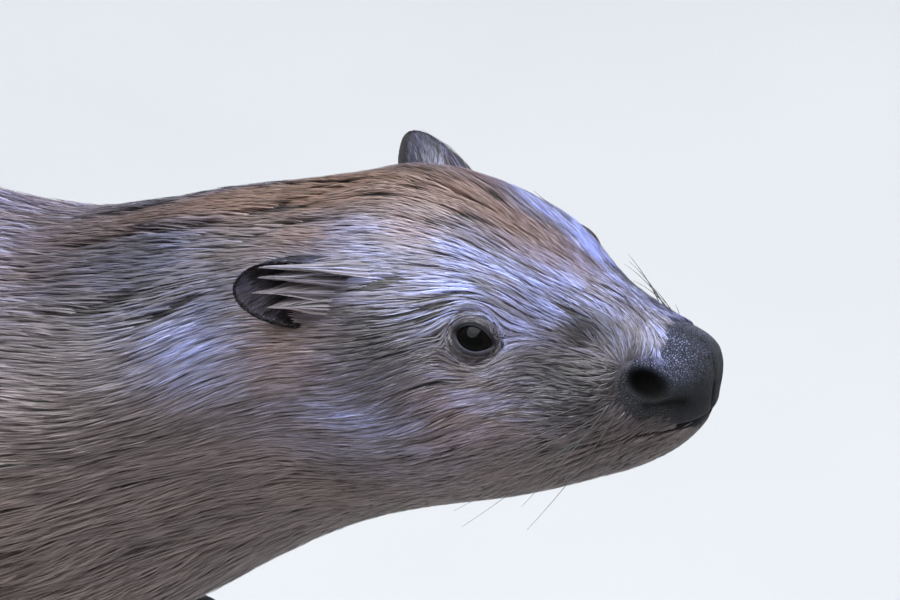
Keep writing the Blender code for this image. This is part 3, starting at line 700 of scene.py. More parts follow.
def grid_quads(rows, columns, wrap=True, wrap_rows=False):
    """Quads between neighbouring rows and columns of a grid."""
    r = np.arange(rows if wrap_rows else rows - 1)[:, None]
    c = np.arange(columns if wrap else columns - 1)[None, :]
    after, below = (c + 1) % columns, (r + 1) % rows
    quads = [r * columns + c, r * columns + after, below * columns + after, below * columns + c]
    return np.stack(quads, axis=-1).reshape(-1, 4)


def squares(u, v):
    """Every pair of a value of u and a value of v."""
    return np.stack(np.meshgrid(u, v, indexing="ij"), axis=-1).reshape(-1, 2)


def with_ends(values, front=0.0, rear=0.0):
    """Values at the points of a loft: those on its rings, then those at the two points that close it."""
    ends = [np.full((1, *values.shape[2:]), end) for end in (front, rear)]
    return np.concatenate([values.reshape(-1, *values.shape[2:]), *ends])


def loft(rings, chart, front=None, rear=None):
    """A closed shape from rings, each end drawn to one point. chart is its rectangle in the unit square."""
    rows, columns = rings.shape[:2]
    front = rings[0].mean(axis=0) if front is None else front
    rear = rings[-1].mean(axis=0) if rear is None else rear
    points = np.concatenate([rings.reshape(-1, 3), [front], [rear]])
    k = np.arange(columns)
    after = (k + 1) % columns
    last = (rows - 1) * columns
    first_fan = np.stack([after, k, np.full(columns, rows * columns)], axis=1)
    last_fan = np.stack([last + k, last + after, np.full(columns, rows * columns + 1)], axis=1)
    u0, v0, u1, v1 = chart
    square = squares(u0 + (u1 - u0) * (np.arange(rows) + 1) / (rows + 1), v0 + (v1 - v0) * k / columns)
    square = np.concatenate([square, [(u0, (v0 + v1) / 2)], [(u1, (v0 + v1) / 2)]])
    triangles = np.concatenate([first_fan, last_fan])
    return Shape(placed(points), grid_quads(rows, columns), triangles, square, v1 - v0).outward()


def new_piece(name, shape, material, fields=None):
    """Puts a shape into a mesh object that rides on the frame. fields are named values for its points."""
    mesh = bpy.data.meshes.new(name)
    corners = np.concatenate([shape.quads.ravel(), shape.triangles.ravel()]).astype(np.int32)
    sizes = np.concatenate([np.full(len(shape.quads), 4), np.full(len(shape.triangles), 3)])
    starts = np.cumsum([0, *sizes[:-1]]).astype(np.int32)
    mesh.vertices.add(len(shape.points))
    mesh.vertices.foreach_set("co", shape.points.astype(np.float32).ravel())
    mesh.loops.add(len(corners))
    mesh.loops.foreach_set("vertex_index", corners)
    mesh.polygons.add(len(starts))
    mesh.polygons.foreach_set("loop_start", starts)
    mesh.update(calc_edges=True)
    mesh.shade_smooth()
    square = shape.square[corners]
    owner = np.repeat(np.arange(len(sizes)), sizes)
    highest = np.full(len(sizes), -1.0)
    np.maximum.at(highest, owner, square[:, 1])
    wrapped = highest[owner] - square[:, 1] > shape.turn[corners] / 2
    square[:, 1] += wrapped * shape.turn[corners]
    layer = mesh.uv_layers.new(name="OFBake")
    layer.uv.foreach_set("vector", square.astype(np.float32).ravel())
    for field, values in (fields or {}).items():
        kind, key = ("FLOAT_COLOR", "color") if values.shape[1] == 4 else ("FLOAT_VECTOR", "vector")
        mesh.attributes.new(field, kind, "POINT").data.foreach_set(key, values.astype(np.float32).ravel())
    mesh.materials.append(material)
    piece = bpy.data.objects.new(name, mesh)
    bpy.context.scene.collection.objects.link(piece)
    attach(piece, "root")
    return piece


# --- Materials


class Finish:
    """A procedural material: a Principled shader with its constants, and the nodes that feed it.

    A value may be a number, a colour or another node's output.
    """

    def __init__(self, name, roughness, **constants):
        self.material = bpy.data.materials.new(name)
        self.material.use_nodes = True
        self.tree = self.material.node_tree
        self.shader = self.tree.nodes["Principled BSDF"]
        self.fill(self.shader, Roughness=roughness, **constants)

    def fill(self, made, **sockets):
        """Sets a node's sockets to values, or links them to other nodes' outputs."""
        for key, value in sockets.items():
            self.feed(made.inputs[key.replace("_", " ")], value)

    def feed(self, socket, value):
        """Sets one socket to a value, or links it to another node's output."""
        if isinstance(value, bpy.types.NodeSocket):
            self.tree.links.new(value, socket)
        else:
            socket.default_value = value

    def node(self, kind, settings=None, **sockets):
        """A new node with its settings made and its sockets filled."""
        made = self.tree.nodes.new(kind)
        for key, value in (settings or {}).items():
            setattr(made, key, value)
        self.fill(made, **sockets)
        return made

    def where(self, stretch=None):
        """Places on the object, times a factor for each axis."""
        here = self.node("ShaderNodeTexCoord").outputs["Object"]
        if stretch is None:
            return here
        return self.node("ShaderNodeMapping", Vector=here, Scale=stretch).outputs[0]

    def noise(self, where, scale, detail, **more):
        """Soft noise from 0 to 1."""
        made = self.node("ShaderNodeTexNoise", Vector=where, Scale=scale, Detail=detail, **more)
        return made.outputs["Fac"]

    def parts(self, attribute):
        """The three parts of a vector attribute."""
        found = self.node("ShaderNodeAttribute", {"attribute_name": attribute})
        return self.node("ShaderNodeSeparateXYZ", Vector=found.outputs["Vector"]).outputs[:3]

    def marks(self):
        """The four shares of the markings and painted light: painted sky reflection, reddish brown, dark with
        painted shade, and bare skin.
        """
        found = self.node("ShaderNodeAttribute", {"attribute_name": "markings_and_painted_light"})
        split = self.node("ShaderNodeSeparateColor", Color=found.outputs["Color"])
        return [*split.outputs[:3], found.outputs["Alpha"]]

    def maths(self, operation, first, second, kind="ShaderNodeMath", result=0):
        """Two values taken together by one operation."""
        made = self.node(kind, {"operation": operation})
        self.feed(made.inputs[0], first)
        self.feed(made.inputs[1], second)
        return made.outputs[result]

    def mixed(self, share, low, high, way="MIX"):
        """Colour between low and high by a share."""
        made = self.node("ShaderNodeMix", {"data_type": "RGBA", "blend_type": way})
        self.feed(made.inputs[0], share)
        for index, value in ((6, low), (7, high)):
            self.feed(made.inputs[index], value if isinstance(value, bpy.types.NodeSocket) else (*value, 1))
        return made.outputs[2]

    def ranged(self, value, low, high, to_low, to_high):
        """A number carried from one range to another and held at its ends."""
        made = self.node("ShaderNodeMapRange", Value=value, From_Min=low, From_Max=high)
        self.fill(made, To_Min=to_low, To_Max=to_high)
        return made.outputs["Result"]

    def shaded(self, colour, value, low, high, to_low, to_high):
        """A colour multiplied by a number that is first carried from one range to another."""
        tone = self.ranged(value, low, high, to_low, to_high)
        grey = self.node("ShaderNodeCombineColor", Red=tone, Green=tone, Blue=tone)
        return self.mixed(1.0, colour, grey.outputs["Color"], "MULTIPLY")

    def done(self, colour, rough=None, bump=None):
        """The material, its colour linked, and where given its roughness and its bump.

        bump is a strength, a depth in metres and the height that it follows.
        """
        self.fill(self.shader, Base_Color=colour)
        if rough is not None:
            self.fill(self.shader, Roughness=rough)
        if bump is not None:
            made = self.node("ShaderNodeBump", Strength=bump[0], Distance=bump[1], Height=bump[2])
            self.fill(self.shader, Normal=made.outputs["Normal"])
        return self.material


def coat_colour(made, colours, strand=None):
    """The coat's colour from its markings and painted light: grey-brown, reddish brown, a painted reflection of
    the sky, then dark fur and painted shade.

    strand is a number for each hair: where it is high the hair shows the painted reflection, and where low its
    own brown.
    """
    painted_sky_sheen, warm, dark, _ = made.marks()
    if strand is not None:
        painted_sky_sheen = made.maths("MULTIPLY", painted_sky_sheen, made.ranged(strand, 0.34, 0.68, 0.25, 1.28))
    colour = made.mixed(warm, colours.coat, colours.warm)
    colour = made.mixed(painted_sky_sheen, colour, colours.painted_sky_sheen)
    return made.mixed(dark, colour, colours.dark)


def coat_material(colours):
    """Wet fur: hair lines run along each lock, roots are darker with painted shade, and every lock has its own
    tone.
    """
    made = Finish("wet_fur", 0.42, Specular_IOR_Level=0.45)
    across, along, tone = made.parts("lock")
    lines = made.node("ShaderNodeCombineXYZ", X=across, Y=made.maths("MULTIPLY", along, 0.5), Z=tone)
    hair = made.noise(lines.outputs[0], 3.2, 2.0)
    strand = made.maths("ADD", made.maths("MULTIPLY", tone, 0.6), made.maths("MULTIPLY", hair, 0.4))
    colour = coat_colour(made, colours, strand)
    colour = made.shaded(colour, tone, 0, 1, 0.26, 1.66)
    # Painted shade at the roots: the part of each lock nearest its root is darker.
    colour = made.shaded(colour, along, 0, 0.22, 0.60, 1.0)
    colour = made.shaded(colour, hair, 0.3, 0.7, 0.70, 1.25)
    return made.done(colour, made.ranged(hair, 0.2, 0.8, 0.52, 0.32), (0.35, 0.0003, hair))


def skin_material(colours):
    """Skin under the coat in the coat's markings and painted light, and bare pebbled skin on nose, feet and
    tail.
    """
    made = Finish("beaver_skin", 0.5, Specular_IOR_Level=0.26)
    where = made.where()
    painted_sky_sheen, _, dark, bare = made.marks()
    edge, painted_wet_glint, hollow = made.parts("lids")
    mottle = made.noise(where, 260.0, 4.0)
    speck = made.noise(where, 1500.0, 2.0)
    pebbles = made.node("ShaderNodeTexVoronoi", {"feature": "DISTANCE_TO_EDGE"}, Vector=where, Scale=1150.0)
    pebble = made.ranged(pebbles.outputs["Distance"], 0.0, 0.28, 0.0, 1.0)
    under = made.mixed(1.0, coat_colour(made, colours), (0.22, 0.205, 0.25), "MULTIPLY")
    under = made.shaded(under, mottle, 0.3, 0.7, 0.6, 1.4)
    # Painted reflection of the sky: pale blue specks on bare skin where the sky's sheen is marked.
    painted_pad_glints = made.maths("MULTIPLY", painted_sky_sheen, made.ranged(speck, 0.36, 0.60, 0.45, 1.1))
    skin = made.shaded(colours.bare, mottle, 0.3, 0.7, 0.65, 1.5)
    skin = made.mixed(painted_pad_glints, skin, (0.27, 0.31, 0.52))
    # Painted shade in the grooves between the pebbles.
    skin = made.mixed(pebble, (0.004, 0.004, 0.005), skin)
    # Dark marks: black nose leather, and painted shade in the folds round the nostrils.
    skin = made.mixed(dark, skin, (0.006, 0.006, 0.008))
    colour = made.mixed(bare, under, skin)
    # Lid edge: dark skin round the eye, with painted shade in the creases.
    colour = made.mixed(edge, colour, (0.010, 0.009, 0.012))
    # Painted highlight: the pale wet line along the lids.
    colour = made.mixed(painted_wet_glint, colour, (0.25, 0.28, 0.42))
    # Painted shade, near black, in nostrils, ear canals, the fold under the nose and the line of the mouth.
    colour = made.mixed(hollow, colour, (0.0015, 0.0015, 0.002))
    dull = made.maths("ADD", made.maths("ADD", dark, hollow), made.maths("MULTIPLY", edge, 0.8))
    dull = made.ranged(dull, 0.0, 1.0, 0.0, 0.4)
    rough = made.maths("ADD", made.ranged(mottle, 0.3, 0.7, 0.30, 0.48), dull)
    height = made.maths("MULTIPLY", made.maths("MULTIPLY", pebble, bare), 0.5)
    height = made.maths("ADD", height, made.maths("MULTIPLY", mottle, 0.5))
    return made.done(colour, rough, (0.9, 0.0010, height))


def eye_material(colours, centre, axis):
    """A dark iris with a fine mottle round a black pupil, under a clear wet surface."""
    made = Finish("wet_eye", 0.06, Specular_IOR_Level=0.07, Coat_Weight=0.03, Coat_Roughness=0.02, IOR=1.376)
    where, vectors = made.where(), "ShaderNodeVectorMath"
    depth = made.maths("DOT_PRODUCT", made.maths("SUBTRACT", where, centre, vectors), axis, vectors, "Value")
    depth = made.maths("MULTIPLY", depth, 1000.0)
    iris = made.shaded(colours.eye, made.noise(where, 900.0, 3.0), 0.3, 0.7, 0.6, 1.5)
    colour = made.mixed(made.ranged(depth, 6.6, 6.9, 0.0, 1.0), iris, (0.002, 0.002, 0.002))
    colour = made.mixed(made.ranged(depth, 4.6, 5.2, 1.0, 0.0), colour, (0.012, 0.009, 0.008))
    return made.done(colour)


def horn_material(name, colour):
    """Dark horn with a fine mottle."""
    made = Finish(name, 0.35, Specular_IOR_Level=0.5)
    grain = made.noise(made.where(), 1500.0, 3.0)
    return made.done(made.shaded(colour, grain, 0.3, 0.7, 0.6, 1.5), bump=(0.3, 0.0002, grain))


def scale_material():
    """Damp grey-black scales, each a little lighter in the middle, with dust of wear."""
    made = Finish("tail_scales", 0.4, Specular_IOR_Level=0.5)
    middle, _, tone = made.parts("lock")
    grain = made.noise(made.where(), 700.0, 4.0)
    colour = made.mixed(middle, (0.016, 0.014, 0.015), (0.075, 0.068, 0.068))
    colour = made.shaded(colour, tone, 0, 1, 0.6, 1.35)
    colour = made.shaded(colour, grain, 0.3, 0.7, 0.7, 1.3)
    return made.done(colour, made.ranged(grain, 0.3, 0.7, 0.30, 0.5), (0.35, 0.0003, grain))


def wood_material(colour):
    """Oiled wood: rings of growth stretched along the grain, and fine pores."""
    made = Finish("oiled_wood", 0.42, Specular_IOR_Level=0.4)
    rings = made.noise(made.where((2.2, 26.0, 26.0)), 1.6, 5.0, Distortion=0.6)
    pores = made.noise(made.where((30.0, 900.0, 900.0)), 1.0, 2.0)
    dark, light = [c * 0.62 for c in colour], [min(1.0, c * 1.18) for c in colour]
    tint = made.mixed(made.ranged(rings, 0.35, 0.65, 0.0, 1.0), dark, light)
    tint = made.shaded(tint, pores, 0.35, 0.6, 0.72, 1.05)
    return made.done(tint, made.ranged(pores, 0.3, 0.7, 0.55, 0.36), (0.2, 0.0004, pores))


def steel_material(colour):
    """Brushed steel: fine rings round each rod."""
    made = Finish("brushed_steel", 0.3, Metallic=1.0)
    lines = made.noise(made.where((40.0, 40.0, 4000.0)), 1.0, 2.0)
    tint = made.shaded(colour, lines, 0.3, 0.7, 0.86, 1.08)
    return made.done(tint, made.ranged(lines, 0.3, 0.7, 0.24, 0.40))


def floor_material(colour):
    """Plain pale floor with the faintest mottle."""
    made = Finish("pale_floor", 0.8)
    return made.done(made.shaded(colour, made.noise(made.where(), 3.0, 3.0), 0.3, 0.7, 0.97, 1.03))


# --- Coat making


ROOT_STEPS = (0.7548776662466927, 0.5698402909980532)  # 1/g and 1/g^2, where g^3 = g + 1
HIGH_QUANTILE = 0.97  # of the weighted areas, taken as the full one
BLADE_POINTS = 7  # in one lock: three pairs and a tip
BLADE_WIDTHS = np.array((0.75, 1.0, 0.72))  # of the pairs, in widths of the lock
BLADE_ON_CHART = 0.003
TOP_SHARE = 0.68  # share of locks in the coat's top layer
GATHERINGS = ((11.0, 0.40), (3.2, 0.95))  # their spacings in widths of a lock, and shares of the pull
PULLS = np.array((0.0, 0.25, 0.62, 0.93))  # share of the pull at each point of a lock, from root to tip
GRID_STRETCH = 5.0  # how much longer than wide the cells of the gathering grid are
ALONG_FREE = 0.96  # how little a gap along the coat counts
BLOCK = 1500  # roots matched at a time
# How far locks rise from root to tip, in shares of the coat's depth: the top layer and the one under it.
TOP_RISE, UNDER_RISE = (-0.10, 0.50, 0.86, 0.98), (-0.10, 0.28, 0.45, 0.45)


class Surface:
    """A surface of two parameters that a coat grows on.

    span is both parameters at their low and at their high ends, and steps are those used to find slopes.
    """

    def __init__(self, at, span, steps, chart):
        self.at, self.span, self.steps, self.chart, self.sign = at, span, steps, chart, 1.0

    def faced(self, u, v, inner):
        """The surface, its normals turned round if the one at this place points towards an inner point."""
        here, _, _, normal = self.frame(np.array([u]), np.array([v]))
        self.sign = -1.0 if ((here - inner) * normal).sum() < 0 else 1.0
        return self

    def charted(self, u, v):
        """Places on the surface's chart."""
        low, high = self.span
        u0, v0, u1, v1 = self.chart
        across = v0 + (v1 - v0) * ((v - low[1]) / (high[1] - low[1]) % 1.0)
        return np.stack([u0 + (u1 - u0) * (u - low[0]) / (high[0] - low[0]), across], axis=-1)

    def frame(self, u, v):
        """Point, slopes in both parameters, and the outward normal from their cross product."""
        du, dv = self.steps
        here = self.at(u, v)
        along_u = (self.at(u + du, v) - here) / du
        along_v = (self.at(u, v + dv) - here) / dv
        return here, along_u, along_v, unit(np.cross(along_u, along_v)) * self.sign

    def comb(self, u, v, length, way):
        """Walks from each root along the lie of the coat in three steps. Returns the points and normals."""
        points, normals = [], []
        for _ in range(4):
            here, along_u, along_v, normal = self.frame(u, v)
            points.append(here)
            normals.append(normal)
            lie = way(here)
            lie = unit(lie - (lie * normal).sum(-1, keepdims=True) * normal) * (length / 3)[:, None]
            uu, uv, vv = (along_u**2).sum(-1), (along_u * along_v).sum(-1), (along_v**2).sum(-1)
            ul, vl = (along_u * lie).sum(-1), (along_v * lie).sum(-1)
            area = np.maximum(uu * vv - uv**2, 1e-9)
            u = u + (vv * ul - uv * vl) / area
            v = v + (uu * vl - uv * ul) / area
        return np.stack(points, axis=1), np.stack(normals, axis=1)


def spread_roots(surface, u_range, v_range, count, weight, rng):
    """Roots spread evenly by the fractions of n/g and n/g^2, thinned to the surface's area times a weight."""
    n = np.arange(count * 4) + 1
    u, v = (between(ends, (0.5 + n * step) % 1) for ends, step in zip((u_range, v_range), ROOT_STEPS))
    here, along_u, along_v, _ = surface.frame(u, v)
    share = np.linalg.norm(np.cross(along_u, along_v), axis=-1) * weight(here)
    keep = rng.random(len(n)) * np.quantile(share, HIGH_QUANTILE) < share
    u, v, here = u[keep], v[keep], here[keep]
    pick = np.linspace(0, len(u) - 1, min(count, len(u))).astype(int)
    return u[pick], v[pick], here[pick]


def gather(surface, paths, normals, u_range, v_range, spacing, length, way, pull, rng):
    """Draws locks together: each leans sideways to the path of the nearest of a grid of gathering points.

    The grid's cells are longer along the coat than across it, so that the points are long and thin.
    """
    middle = surface.frame(np.full(2, np.mean(u_range)), np.full(2, np.mean(v_range)))
    rows = max(2, int((u_range[1] - u_range[0]) * np.linalg.norm(middle[1][0]) / (spacing * GRID_STRETCH)))
    columns = max(2, int((v_range[1] - v_range[0]) * np.linalg.norm(middle[2][0]) / spacing))
    i, j = np.meshgrid(np.arange(rows), np.arange(columns), indexing="ij")
    u = between(u_range, (i + rng.uniform(0.0, 1.0, i.shape)) / rows)
    v = between(v_range, (j + rng.uniform(0.1, 0.9, i.shape)) / columns)
    lead, _ = surface.comb(u.ravel(), v.ravel(), np.full(u.size, float(np.mean(length))), way)
    lead_tone = rng.random(u.size)
    roots = paths[:, 0]
    lie = unit(paths[:, 1] - paths[:, 0])
    chosen = np.zeros(len(roots), int)
    for start in range(0, len(roots), BLOCK):
        block = slice(start, start + BLOCK)
        gap = lead[None, :, 0] - roots[block, None]
        along = (gap * lie[block, None]).sum(-1)
        chosen[block] = ((gap**2).sum(-1) - ALONG_FREE * along**2).argmin(axis=1)
    gap = lead[chosen] - paths
    ahead = unit(np.gradient(paths, axis=1))
    gap = gap - (gap * ahead).sum(-1, keepdims=True) * ahead
    gap = gap - (gap * normals).sum(-1, keepdims=True) * normals
    distance = np.linalg.norm(gap[:, 0], axis=-1)
    share = pull[:, None] * PULLS * (distance < spacing * 1.6)[:, None]
    return paths + share[..., None] * gap, lead_tone[chosen], np.clip(distance / spacing, 0, 1)


def lock_shape(paths, normals, width, lift, roll, square):
    """Tapered blades: three lines across and a tip. Returns the shape, and the shares across and along it."""
    spine = paths + lift[..., None] * normals
    ahead = unit(np.gradient(spine, axis=1))
    side = unit(np.cross(normals, ahead))[:, :3]
    side = side * np.cos(roll)[:, None, None] + normals[:, :3] * np.sin(roll)[:, None, None]
    half = width[:, None, None] * BLADE_WIDTHS[None, :, None] / 2
    sections = np.stack([spine[:, :3] - half * side, spine[:, :3] + half * side], axis=2)
    points = np.concatenate([sections.reshape(len(paths), 6, 3), spine[:, 3:]], axis=1)
    k = np.arange(len(paths))[:, None] * BLADE_POINTS
    quads = np.concatenate([k + np.array(q) for q in ((0, 1, 3, 2), (2, 3, 5, 4))])
    across = np.array([-1, 1, -1, 1, -1, 1, 0]) / 2
    along = np.array([0, 0, 1, 1, 2, 2, 3]) / 3
    patch = np.stack([across, along - 0.5], axis=-1) * BLADE_ON_CHART
    places = (square[:, None] + patch[None]).reshape(-1, 2)
    return Shape(placed(points.reshape(-1, 3)), quads, k + np.array((4, 5, 6)), places), across, along


def lock_field(across, along, width, tone, rng):
    """The lock attribute: millimetres across from a place of its own, share along, and tone."""
    field = np.empty((len(width), BLADE_POINTS, 3))
    field[..., 0] = across[None] * width[:, None] + rng.uniform(0, 60, len(width))[:, None]
    field[..., 1] = along[None]
    field[..., 2] = tone[:, None]
    return field.reshape(-1, 3)


def nearness_to_partings(points, normals):
    """Distance along the coat from points to the nearest parting, in halves of its gap."""
    fold = side_fold(points)
    folded, upright = points * fold, normals * fold
    nearest = np.full(points.shape[:-1], 99.0)
    for parting in PARTINGS:
        away, t = from_segment(folded, parting[:3], parting[3:6] - parting[:3])
        height = (away * upright).sum(-1, keepdims=True)
        away = np.linalg.norm(away - height * upright, axis=-1) + 9.0 * (np.abs(height[..., 0]) > 9)
        nearest = np.minimum(nearest, away / (parting[6] * (0.25 + 3.0 * t * (1 - t))))
    return nearest


def lay_coat(name, surface, u_range, v_range, count, material, seed, **options):
    """Lays one piece of the coat: an under layer darkened with painted shade, and a top layer drawn together
    into wet points.

    options: way for the lie, length, width and depth as functions of points, keep to drop roots, a function to
    change the markings and painted light, and wet for how far locks are drawn together.
    """
    sizes = bpy.context.scene.beaver_sizes
    rng = np.random.default_rng(seed)
    way = options.get("way", lie_of_coat)
    length_at = options.get("length", lambda p: np.interp(p[:, 0], COAT_PLACES, LOCK_LENGTHS))
    width_at = options.get("width", lambda p: np.interp(p[:, 0], COAT_PLACES, LOCK_WIDTHS))
    depth_at = options.get("depth", lambda p: coat_depth(p[:, 0]))
    count = max(40, int(count * sizes.coat_share))

    def weight(points):
        return 1 / (length_at(points) * width_at(points))

    u, v, roots = spread_roots(surface, u_range, v_range, count, weight, rng)
    keep = options.get("keep", lambda p: np.ones(len(p), bool))(roots)
    u, v, roots = u[keep], v[keep], roots[keep]
    length = length_at(roots) * rng.uniform(0.65, 1.2, len(u))
    width = width_at(roots)
    spacing = width.mean()
    paths, normals = surface.comb(u, v, length, way)
    top = rng.random(len(u)) < TOP_SHARE
    steps = [paths[:, k] * (1 - f) + paths[:, k + 1] * f for k in range(3) for f in (0.25, 0.75)]
    gap = nearness_to_partings(np.stack(steps, axis=1), np.repeat(normals[:, :3], 2, axis=1)).min(axis=1)
    stays = ~top | (gap > 1)
    u, v, roots, length, width, paths, normals, top, gap = (
        values[stays] for values in (u, v, roots, length, width, paths, normals, top, gap)
    )
    wet = sizes.wetness * options.get("wet", 1.0) * (0.35 + 0.9 * PATCHES.at(roots / (19, 11, 11) + 11))
    wet = np.clip(wet + 0.3 * (gap < 5), 0, 1)
    tones = []
    for step, share in GATHERINGS:
        pull = wet * share * np.where(top, rng.uniform(0.6, 1.0, len(u)), 0.3)
        paths, lead_tone, edge = gather(
            surface, paths, normals, u_range, v_range, spacing * step, length, way, pull, rng
        )
        tones.append(lead_tone)
    rise = np.where(top[:, None], TOP_RISE, UNDER_RISE) * rng.uniform(0.70, 1.04, len(u))[:, None]
    lift = rise * depth_at(roots)[:, None] + 0.10
    width = width * rng.uniform(0.7, 1.35, len(u))
    roll = rng.normal(0, 0.22, len(u))
    shape, across, along = lock_shape(paths, normals, width, lift, roll, surface.charted(u, v))
    marks = options.get("marks", lambda p, m: m)(roots, markings_and_painted_light(roots))
    # Painted shade: locks of the under layer are darker, most of all beside partings.
    marks[:, 2] = np.where(top, marks[:, 2], np.maximum(marks[:, 2], np.where(gap < 1.6, 0.85, 0.38)))
    marks[:, 3] = 0
    # Painted shade between gathered points: top locks darken towards the edge of their point, and under-layer
    # locks get a lower tone.
    tone = 0.26 * tones[0] + 0.40 * tones[1] + 0.34 * rng.random(len(u))
    tone = np.clip(np.where(top, 0.20 + 0.84 * tone, 0.45 * tone) - 0.20 * edge * top, 0, 1)
    lock = lock_field(across, along, width, tone, rng)
    fields = {"markings_and_painted_light": np.repeat(marks, BLADE_POINTS, axis=0), "lock": lock}
    return new_piece(name, shape, material, fields)


BODY = Surface(body_surface, ((0.0, 0.0), (float(KNOTS[-1]), 1.0)), (0.05, 0.0005), BODY_CHART)


def ear_hollow(folded):
    """Squared distance from the middle of an ear's hollow, in its reaches. The hollow leans forward below."""
    lean = (EAR_HOLLOW[2] - folded[..., 2:]) * (EAR_HOLLOW_LEAN, 0, 0)
    return (((folded - EAR_HOLLOW + lean) / EAR_HOLLOW_REACH) ** 2).sum(axis=-1)


def growing_skin(points):
    """True where fur grows on head and body: not on the nose, in the eyes, the mouth or the ears' hollows."""
    folded = on_left(points)
    in_eye = (from_eye(points) < HAIRLESS_ROUND_EYE) & (folded[:, 1] > 20)
    in_ear = ear_hollow(folded) < 1
    in_mouth = (np.abs(over_mouth(folded)) < 0.8) & (folded[:, 0] < 34)
    in_nose = np.linalg.norm((folded - NOSTRIL) / (12.0, 10.0, 8.5), axis=1) < 1
    edge = 0.25 + 0.65 * PATCHES.at(points / 1.7 + 3)
    return (markings_and_painted_light(points)[:, 3] < edge) & ~(in_eye | in_ear | in_nose | in_mouth)


# --- Operators


class BEAVER_OT_skin(bpy.types.Operator):
    """One skin over head, body, ears, legs, feet and tail, with lids, nostrils and mouth"""

    bl_idname = "beaver.skin"
    bl_label = "Skin"

    def execute(self, context):
        shapes = [body_skin()]
        for side, _ in SIDES:
            shapes += [ear_skin(side), lid_skin(side, context.scene.beaver_sizes)]
            shapes += fore_limb_skin(side)
        shapes += [hind_limb_skin(side, controls, half) for side, _, controls, half in HIND_SIDES]
        whole = joined(shapes)
        here = in_maker_millimetres(whole.points)
        marks = markings_and_painted_light(here)
        starts = np.cumsum([0] + [len(s.points) for s in shapes])
        body = slice(starts[1])
        # Painted shade in the ears' hollows.
        marks[body, 2] = np.maximum(marks[body, 2], 1 - ease(ear_hollow(on_left(here[body])), 0.8, 1.4))
        for shape, start, end in zip(shapes, starts, starts[1:]):
            if shape.bare is not None:
                marks[start:end, 3] = shape.bare
        lids = np.concatenate([np.zeros((len(s.points), 3)) if s.lids is None else s.lids for s in shapes])
        fields = {"markings_and_painted_light": marks, "lids": lids}
        skin = new_piece("skin", whole, skin_material(context.scene.beaver_colours), fields)
        words = ("ear", "foreleg", "fore_paw", "hind_leg", "hind_foot")
        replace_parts(skin, "head", "neck", "trunk", "tail", *(f"{w}_{s}" for w in words for _, s in SIDES))
        return {"FINISHED"}


def body_skin():
    """The body's skin on a grid, with mouth, nostrils, eye wells and ear canals as Gaussian dents in it."""
    backs = np.concatenate(
        [
            np.linspace(0.6, run_at(48), 66, endpoint=False),
            np.linspace(run_at(48), run_at(168), 84, endpoint=False),
            np.linspace(run_at(168), run_at(850), 64, endpoint=False),
            np.linspace(run_at(850), KNOTS[-1] - 0.8, 46),
        ]
    )
    rings = body_surface(backs[:, None], np.arange(208)[None, :] / 208)
    wide = np.concatenate([rings[:, -1:], rings, rings[:, :1]], axis=1)
    normal = unit(np.cross(np.gradient(rings, axis=0), (wide[:, 2:] - wide[:, :-2]) / 2))
    folded = on_left(rings)
    back, out, up = np.moveaxis(folded, -1, 0)
    mouth = over_mouth(folded)
    open_share = 1 - ease(back, 44, 56)
    relief = -2.4 * np.exp(-((mouth / 1.2) ** 2)) * open_share
    relief += 0.4 * np.exp(-(((mouth - 3.6) / 2.2) ** 2)) * open_share
    relief -= 1.1 * np.exp(-((out / 0.9) ** 2)) * (1 - ease(back, 7, 13)) * (up < 8) * (mouth > 0)
    relief -= 0.5 * np.exp(-((out / 1.0) ** 2)) * (1 - ease(back, 6, 12)) * (up >= 8)
    rings = rings + relief[..., None] * normal
    fold = side_fold(rings)
    inward = unit(NOSTRIL_WAY_IN)
    long_way = unit(NOSTRIL_LONG_WAY - (NOSTRIL_LONG_WAY @ inward) * inward)
    rel = folded - NOSTRIL
    spot = ((rel @ long_way) / 6.6) ** 2 + ((rel @ np.cross(inward, long_way)) / 4.5) ** 2
    hole = np.exp(-(spot**2.2)) * (out > 6)
    rim = np.exp(-(((np.sqrt(spot) - 1.25) / 0.22) ** 2)) * (out > 6)
    rings = rings + (9.0 * hole - 0.7 * rim)[..., None] * inward * fold
    away, _ = from_segment(folded, NOSE_FOLD[0], NOSE_FOLD[1] - NOSE_FOLD[0])
    crease = np.exp(-((np.linalg.norm(away, axis=-1) / 2.0) ** 2))
    rings = rings - (1.8 * crease)[..., None] * normal
    well = (1 - ease(from_eye(folded), *EYE_WELL)) * (out > 18) * (back < 100)
    rings = rings - (8.0 * well)[..., None] * EYE_NORMAL * fold
    canal = np.exp(-(ear_hollow(folded) ** 2.2))
    rings = rings + (12.0 * canal)[..., None] * unit(np.array((0.1, -0.95, -0.2))) * fold
    shape = loft(rings, BODY_CHART, *(SECTIONS[k, [0, 3, 4]] for k in (0, -1)))
    lids = np.zeros(rings.shape)
    # Painted shade in the eye's well, in the dark of the lid edge.
    lids[..., 0] = well
    lips = 0.9 * np.exp(-((mouth / 1.3) ** 2)) * open_share
    # Painted shade, near black, in the nostrils, the fold under them, the ear canals and the line of the mouth.
    lids[..., 2] = np.clip(np.max([hole * 1.5, crease, canal * 2.5, lips], axis=0), 0, 1)
    shape.lids = with_ends(lids)
    return shape


def ear_skin(side):
    """An ear: its inner face, rim and outer face as one closed sheet round a half turn."""
    walls = np.linspace(0, 1, 37)[None, :]
    sheet = ear_surface(walls, np.linspace(*EAR_TURNS, 60)[:, None], side)
    shape = loft(sheet, CHARTS["ear"][side])
    lids = np.zeros(sheet.shape)
    # Painted shade over the ear's inner face.
    lids[..., 2] = 1 - ease(walls, 0.36, 0.46)
    shape.lids = with_ends(lids)
    return shape


